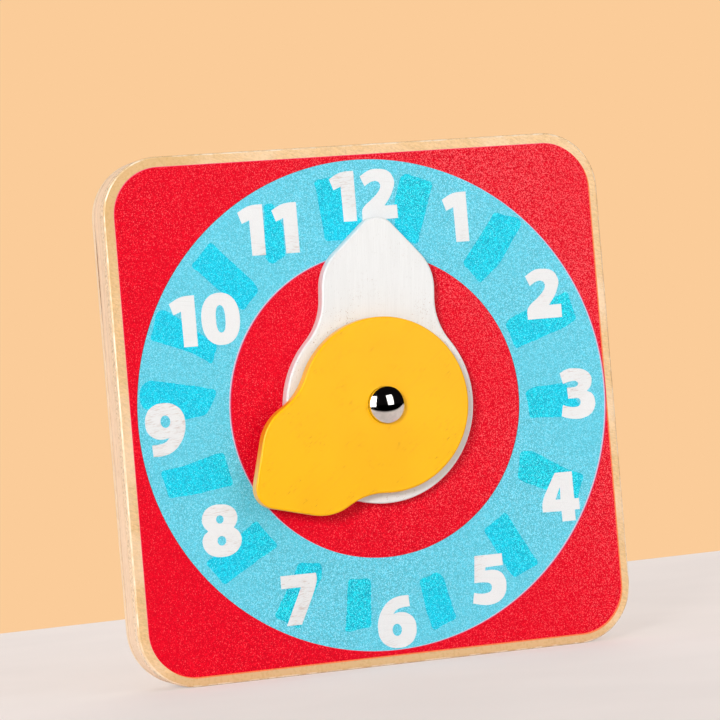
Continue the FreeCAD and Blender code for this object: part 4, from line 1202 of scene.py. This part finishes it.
def build_sweep(material):
    """A table that runs back into an upright backdrop through a wide bend."""
    half, near, bend_at, bend, top, steps = 5.0, -5.0, 2.4, 0.8, 4.0, 16
    profile = [(near, 0.0), (-1.0, 0.0), (1.0, 0.0)]
    for step in range(steps + 1):
        angle = math.pi / 2 * step / steps
        profile.append((bend_at + bend * math.sin(angle), bend * (1 - math.cos(angle))))
    profile.append((bend_at + bend, top))
    mesh = bpy.data.meshes.new("sweep")
    corners = [(side * half, y, z) for y, z in profile for side in (-1, 1)]
    faces = [(2 * i, 2 * i + 1, 2 * i + 3, 2 * i + 2) for i in range(len(profile) - 1)]
    mesh.from_pydata(corners, [], faces)
    mesh.polygons.foreach_set("use_smooth", [True] * len(faces))
    mesh.materials.append(material)
    sweep = bpy.data.objects.new("sweep", mesh)
    bpy.context.scene.collection.objects.link(sweep)


def hang_box(name, direction, distance, sides, lights, watts):
    """A soft box that faces the pivot from this direction, unseen by the camera."""
    towards = Vector(direction).normalized()
    lamp = bpy.data.lights.new(name, "AREA")
    lamp.shape = "RECTANGLE"
    lamp.size, lamp.size_y = sides
    lamp.energy = watts
    lamp.color = LAMP_COLOUR
    holder = bpy.data.objects.new(name, lamp)
    holder.location = PIVOT + towards * distance
    holder.rotation_euler = towards.to_track_quat("Z", "Y").to_euler()
    holder.visible_camera = False
    holder.visible_diffuse = lights
    holder.visible_glossy = not lights
    bpy.context.scene.collection.objects.link(holder)


def light_room():
    """A dim room round the table, dark in the polished dome and pale to the camera."""
    world = bpy.data.worlds.new("room")
    bpy.context.scene.world = world
    world.use_nodes = True
    room = Bench(world.node_tree)
    rays = room.node("ShaderNodeLightPath", output="Is Camera Ray")
    mirrored = rays.part("Is Glossy Ray")
    ambient, dark, seen = [
        room.node("ShaderNodeBackground", None, {"Color": rgba, "Strength": strength})
        for rgba, strength in ROOM_COLOURS
    ]
    lit = room.node("ShaderNodeMixShader", None, {0: mirrored, 1: ambient, 2: dark})
    whole = room.node("ShaderNodeMixShader", None, {0: rays, 1: lit, 2: seen})
    room.node("ShaderNodeOutputWorld", None, {"Surface": whole})


class CLOCK_OT_stage(bpy.types.Operator):
    """Set up the table, the backdrop, the lights and the camera"""

    bl_idname = "teaching_clock.stage"
    bl_label = "Stage"

    def execute(self, context):
        stage = context.scene.clock_stage
        build_sweep(table_finish(stage))
        for name, lamp in LAMPS.items():
            hang_box(name, *lamp, getattr(stage, name))
        light_room()
        view = bpy.data.cameras.new("camera")
        view.lens = LENS
        view.sensor_width = 36.0
        view.sensor_fit = "HORIZONTAL"
        view.shift_x, view.shift_y = CAMERA_SHIFT
        view.clip_start, view.clip_end = 0.01, 50.0
        camera = bpy.data.objects.new("camera", view)
        turned = Matrix((CAMERA_RIGHT, CAMERA_UP, CAMERA_BACK)).transposed().to_4x4()
        camera.matrix_world = Matrix.Translation(CAMERA_PLACE) @ turned
        context.scene.collection.objects.link(camera)
        context.scene.camera = camera
        context.scene.view_settings.view_transform = "Standard"
        return {"FINISHED"}


class CLOCK_PT_panel(bpy.types.Panel):
    """Lists the steps that make the clock"""

    bl_idname = "CLOCK_PT_panel"
    bl_label = "Teaching clock"
    bl_space_type = "VIEW_3D"
    bl_region_type = "UI"
    bl_category = "Teaching clock"

    def draw(self, context):
        for step in STEPS:
            self.layout.operator(step.bl_idname)
        for group in SETTINGS:
            box = self.layout.box()
            owner = getattr(context.scene, group)
            for name in owner.bl_rna.properties.keys():
                if name not in ("rna_type", "name"):
                    box.prop(owner, name)


SETTINGS = {
    "clock_dial": DialPrint,
    "clock_wood": WoodAndLacquer,
    "clock_dome": DomeShape,
    "clock_stage": StudioSetup,
}
STEPS = [
    CLOCK_OT_case,
    CLOCK_OT_field,
    CLOCK_OT_ring,
    CLOCK_OT_bars,
    CLOCK_OT_numerals,
    CLOCK_OT_minute_hand,
    CLOCK_OT_hour_hand,
    CLOCK_OT_dome,
    CLOCK_OT_works,
    CLOCK_OT_stage,
]


def register():
    for kind in [*SETTINGS.values(), *STEPS, CLOCK_PT_panel]:
        bpy.utils.register_class(kind)
    for name, kind in SETTINGS.items():
        setattr(bpy.types.Scene, name, PointerProperty(type=kind))


def unregister():
    for name in SETTINGS:
        delattr(bpy.types.Scene, name)
    for kind in [CLOCK_PT_panel, *reversed(STEPS), *reversed(list(SETTINGS.values()))]:
        bpy.utils.unregister_class(kind)


def clear_table():
    """Removes whatever was in the scene besides the loaded clock."""
    kept = {*frame["bodies"].values(), *NODES.values()}
    for leftover in set(bpy.data.objects) - kept:
        bpy.data.objects.remove(leftover)


def main():
    clear_table()
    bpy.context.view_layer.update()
    register()
    for step in STEPS:
        group, name = step.bl_idname.split(".")
        getattr(getattr(bpy.ops, group), name)()


if __name__ == "__main__":
    main()
